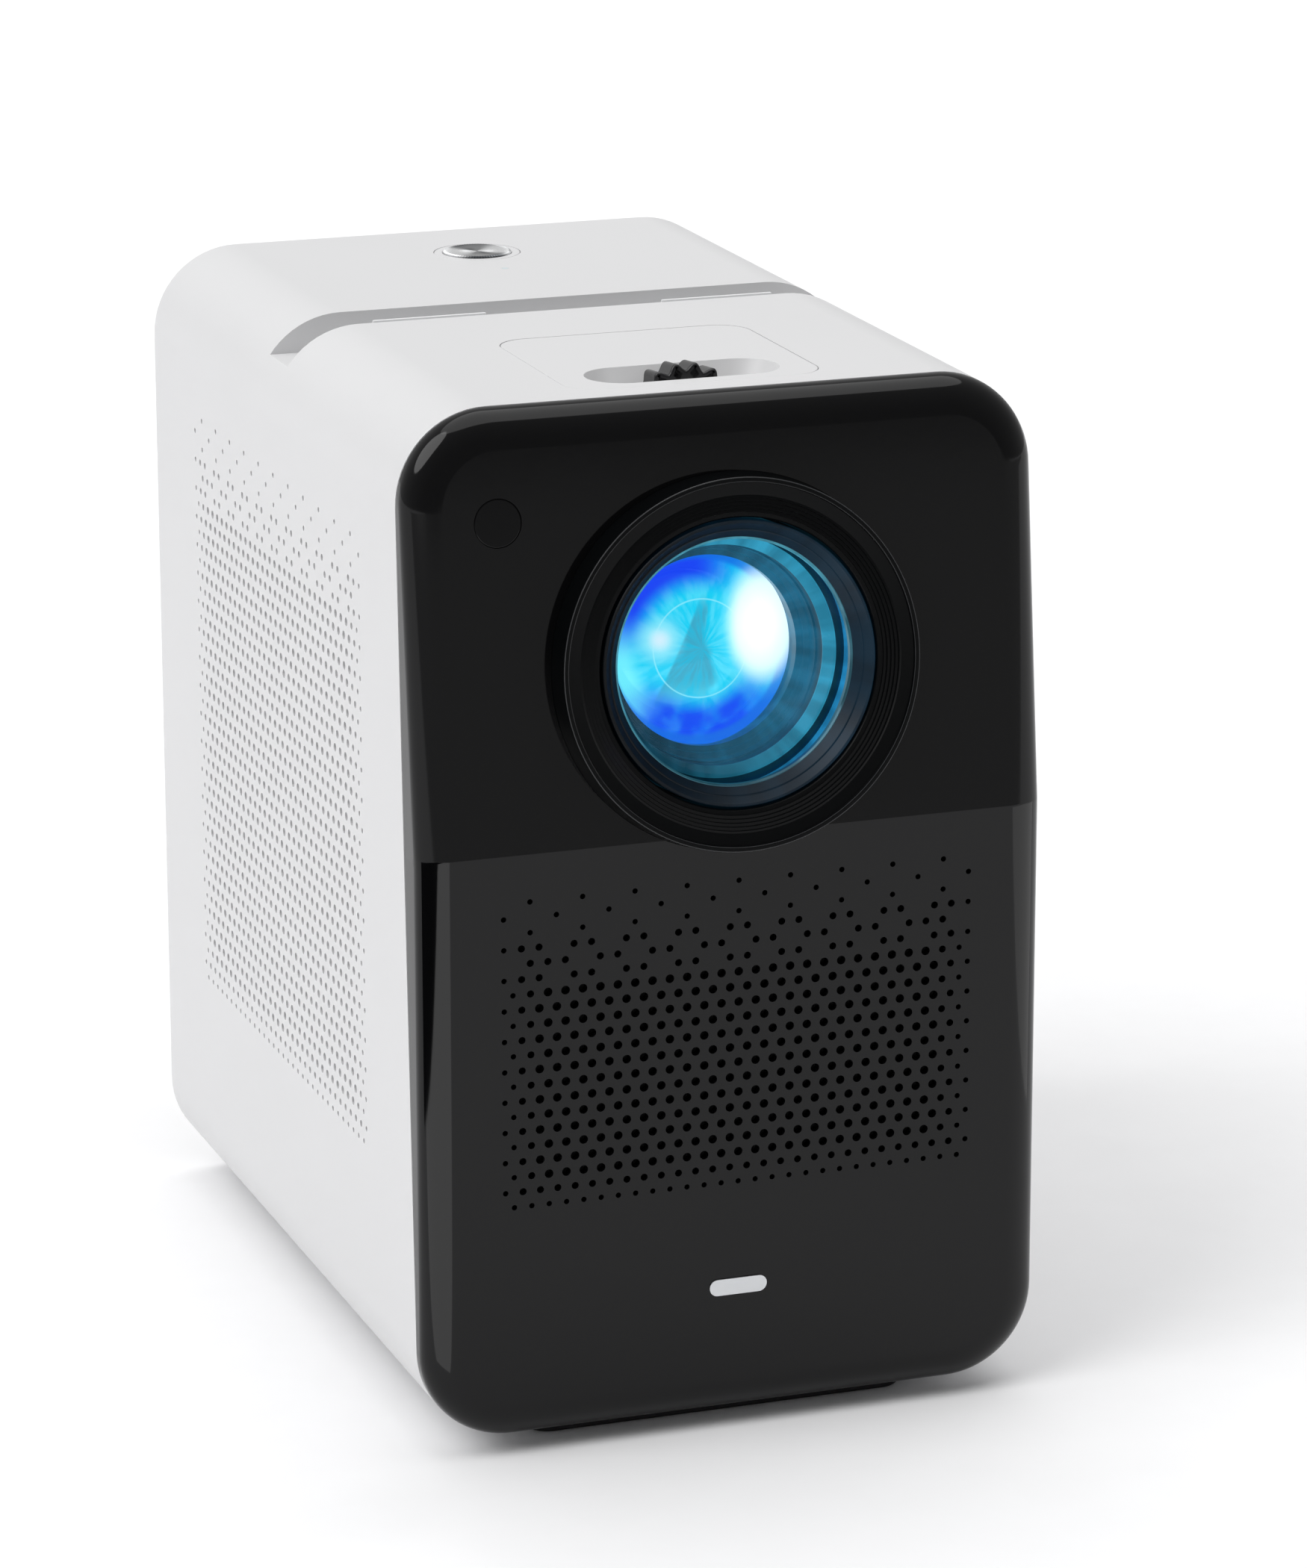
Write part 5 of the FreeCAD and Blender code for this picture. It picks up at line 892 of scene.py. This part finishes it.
for name, gap in (("video_ports", 0.3), ("data_port", 0.3), ("mains_inlet", 0.2)):
    port_low, port_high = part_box(name)
    starts, width = [port_low.x], port_high.x - port_low.x
    if name == "video_ports":
        starts, width = [port_low.x, port_high.x - video_port_wide], video_port_wide
    for start in starts:
        cover = combine(cover, block(
            (start - gap * MM, cover_y - wall, port_low.z - gap * MM),
            (start + width + gap * MM, cover_high.y + wall, port_high.z + gap * MM), 0.6 * MM, 4))
jack_low, jack_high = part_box("sound_jack")
jack_middle = (jack_low + jack_high) / 2
jack_hole = 3.3 * MM
cover = combine(cover, rods([((jack_middle.x, cover_y, jack_middle.z), jack_hole)], 20 * MM, (0, 1, 0), 48))
screws_low, screws_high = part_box("cover_screws")
screw_reach = 2.7 * MM
screw_places = [(across, screws_high.y, high)
                for across in (screws_low.x + screw_reach, screws_high.x - screw_reach)
                for high in (screws_low.z + screw_reach, screws_high.z - screw_reach)]
screw_hole = screw_reach + 0.1 * MM
cover = combine(cover, rods([(place, screw_hole) for place in screw_places], 20 * MM, (0, 1, 0), 32))
piece("rear_cover_plate", soften(cover, 0.3 * MM, 60), grained_abs, "housing",
      ("rear_cover",))

# Cover screws: steel pan heads with a cross recess, one in each of the cover's holes.
# Their zinc plating is bright, with a fine even grain.
plated_steel = bare_metal("zinc_plated_steel", "#b9bbbd", 0.3, (0.6, 0.6, 0.6))
head_thick = 1.6 * MM
heads = rods([((x, y - head_thick / 2, z), screw_reach) for x, y, z in screw_places], head_thick,
             (0, 1, 0), 32)
heads = soften(heads, 0.35 * MM, 60, 3)
cross_long, cross_wide = 2.6 * MM, 0.6 * MM
for x, y, z in screw_places:
    for wide, tall in ((cross_long, cross_wide), (cross_wide, cross_long)):
        heads = combine(heads, block((x - wide / 2, y - 0.9 * MM, z - tall / 2),
                                     (x + wide / 2, y + wall, z + tall / 2)))
piece("screw_heads", heads, plated_steel, "housing", ("cover_screws",))

# Pieces that keep their CAD shape: circuit boards, sockets, glass, the fan and the light engine.
# Each gets the finish of what it is really made of.


def circuit_board():
    """Green solder mask over copper tracks, semi-gloss."""
    made, tree, shader = new_material("solder_mask")
    place = node(tree, "ShaderNodeTexCoord")
    tracks = node(tree, "ShaderNodeTexVoronoi", {"Vector": place.outputs["Object"], "Scale": 1 / (3 * MM)},
                  distance="CHEBYCHEV")
    lines = node(tree, "ShaderNodeMapRange", {
        "Value": tracks.outputs["Distance"], "From Min": 0.42, "From Max": 0.46})
    tone = node(tree, "ShaderNodeMixRGB", {
        0: lines.outputs[0], 1: linear("#0d3d22"), 2: linear("#17633a")})
    tree.links.new(tone.outputs[0], shader.inputs["Base Color"])
    shader.inputs["Roughness"].default_value = 0.35
    return made


def woven_cloth():
    """Black acoustic cloth: two sets of threads, half a millimetre apart."""
    made, tree, shader = new_material("acoustic_cloth")
    place = node(tree, "ShaderNodeTexCoord")
    thread_scale = 1 / (0.5 * MM) / 3.2
    sets = [node(tree, "ShaderNodeTexWave", {"Vector": place.outputs["Object"], "Scale": thread_scale},
                 bands_direction=way).outputs["Fac"] for way in ("X", "Z")]
    weave = math_node(tree, "MAXIMUM", *sets)
    tone = node(tree, "ShaderNodeMixRGB", {0: weave, 1: linear("#050506"), 2: linear("#141416")})
    tree.links.new(tone.outputs[0], shader.inputs["Base Color"])
    bump = node(tree, "ShaderNodeBump", {"Height": weave, "Distance": 0.1 * MM})
    tree.links.new(bump.outputs[0], shader.inputs["Normal"])
    shader.inputs["Roughness"].default_value = 0.9
    return made


frosted_acrylic = moulded_plastic("frosted_acrylic", "#c9d6da", 0.35, 0.5, 0.01)
finishes = {
    "white_plastic": white_abs, "white_rubber": white_silicone, "black_gloss": polished_abs,
    "black_plastic": grained_abs, "smoke_plastic": smoke_polycarbonate, "grey_plastic": santoprene_grey,
    "rubber": black_rubber, "brushed_metal": spun_aluminium, "aluminium": brushed_aluminium,
    "brass": bare_metal("turned_brass", "#c8a45a", 0.25, (0.4, 0.4, 0.2)), "steel": plated_steel,
    "lens_glass": coated_glass, "frosted_glass": frosted_acrylic, "cloth": woven_cloth(),
    "circuit_board": circuit_board(),
    "cone_paper": moulded_plastic("pressed_pulp", "#2a2a2b", 0.85, 1, 0.05),
}
for entry in frame["record"]["subparts"]:
    cad_node = frame["nodes"][entry["node"]]
    cad_node.data.materials.clear()
    cad_node.data.materials.append(finishes[entry["material_slot"]])
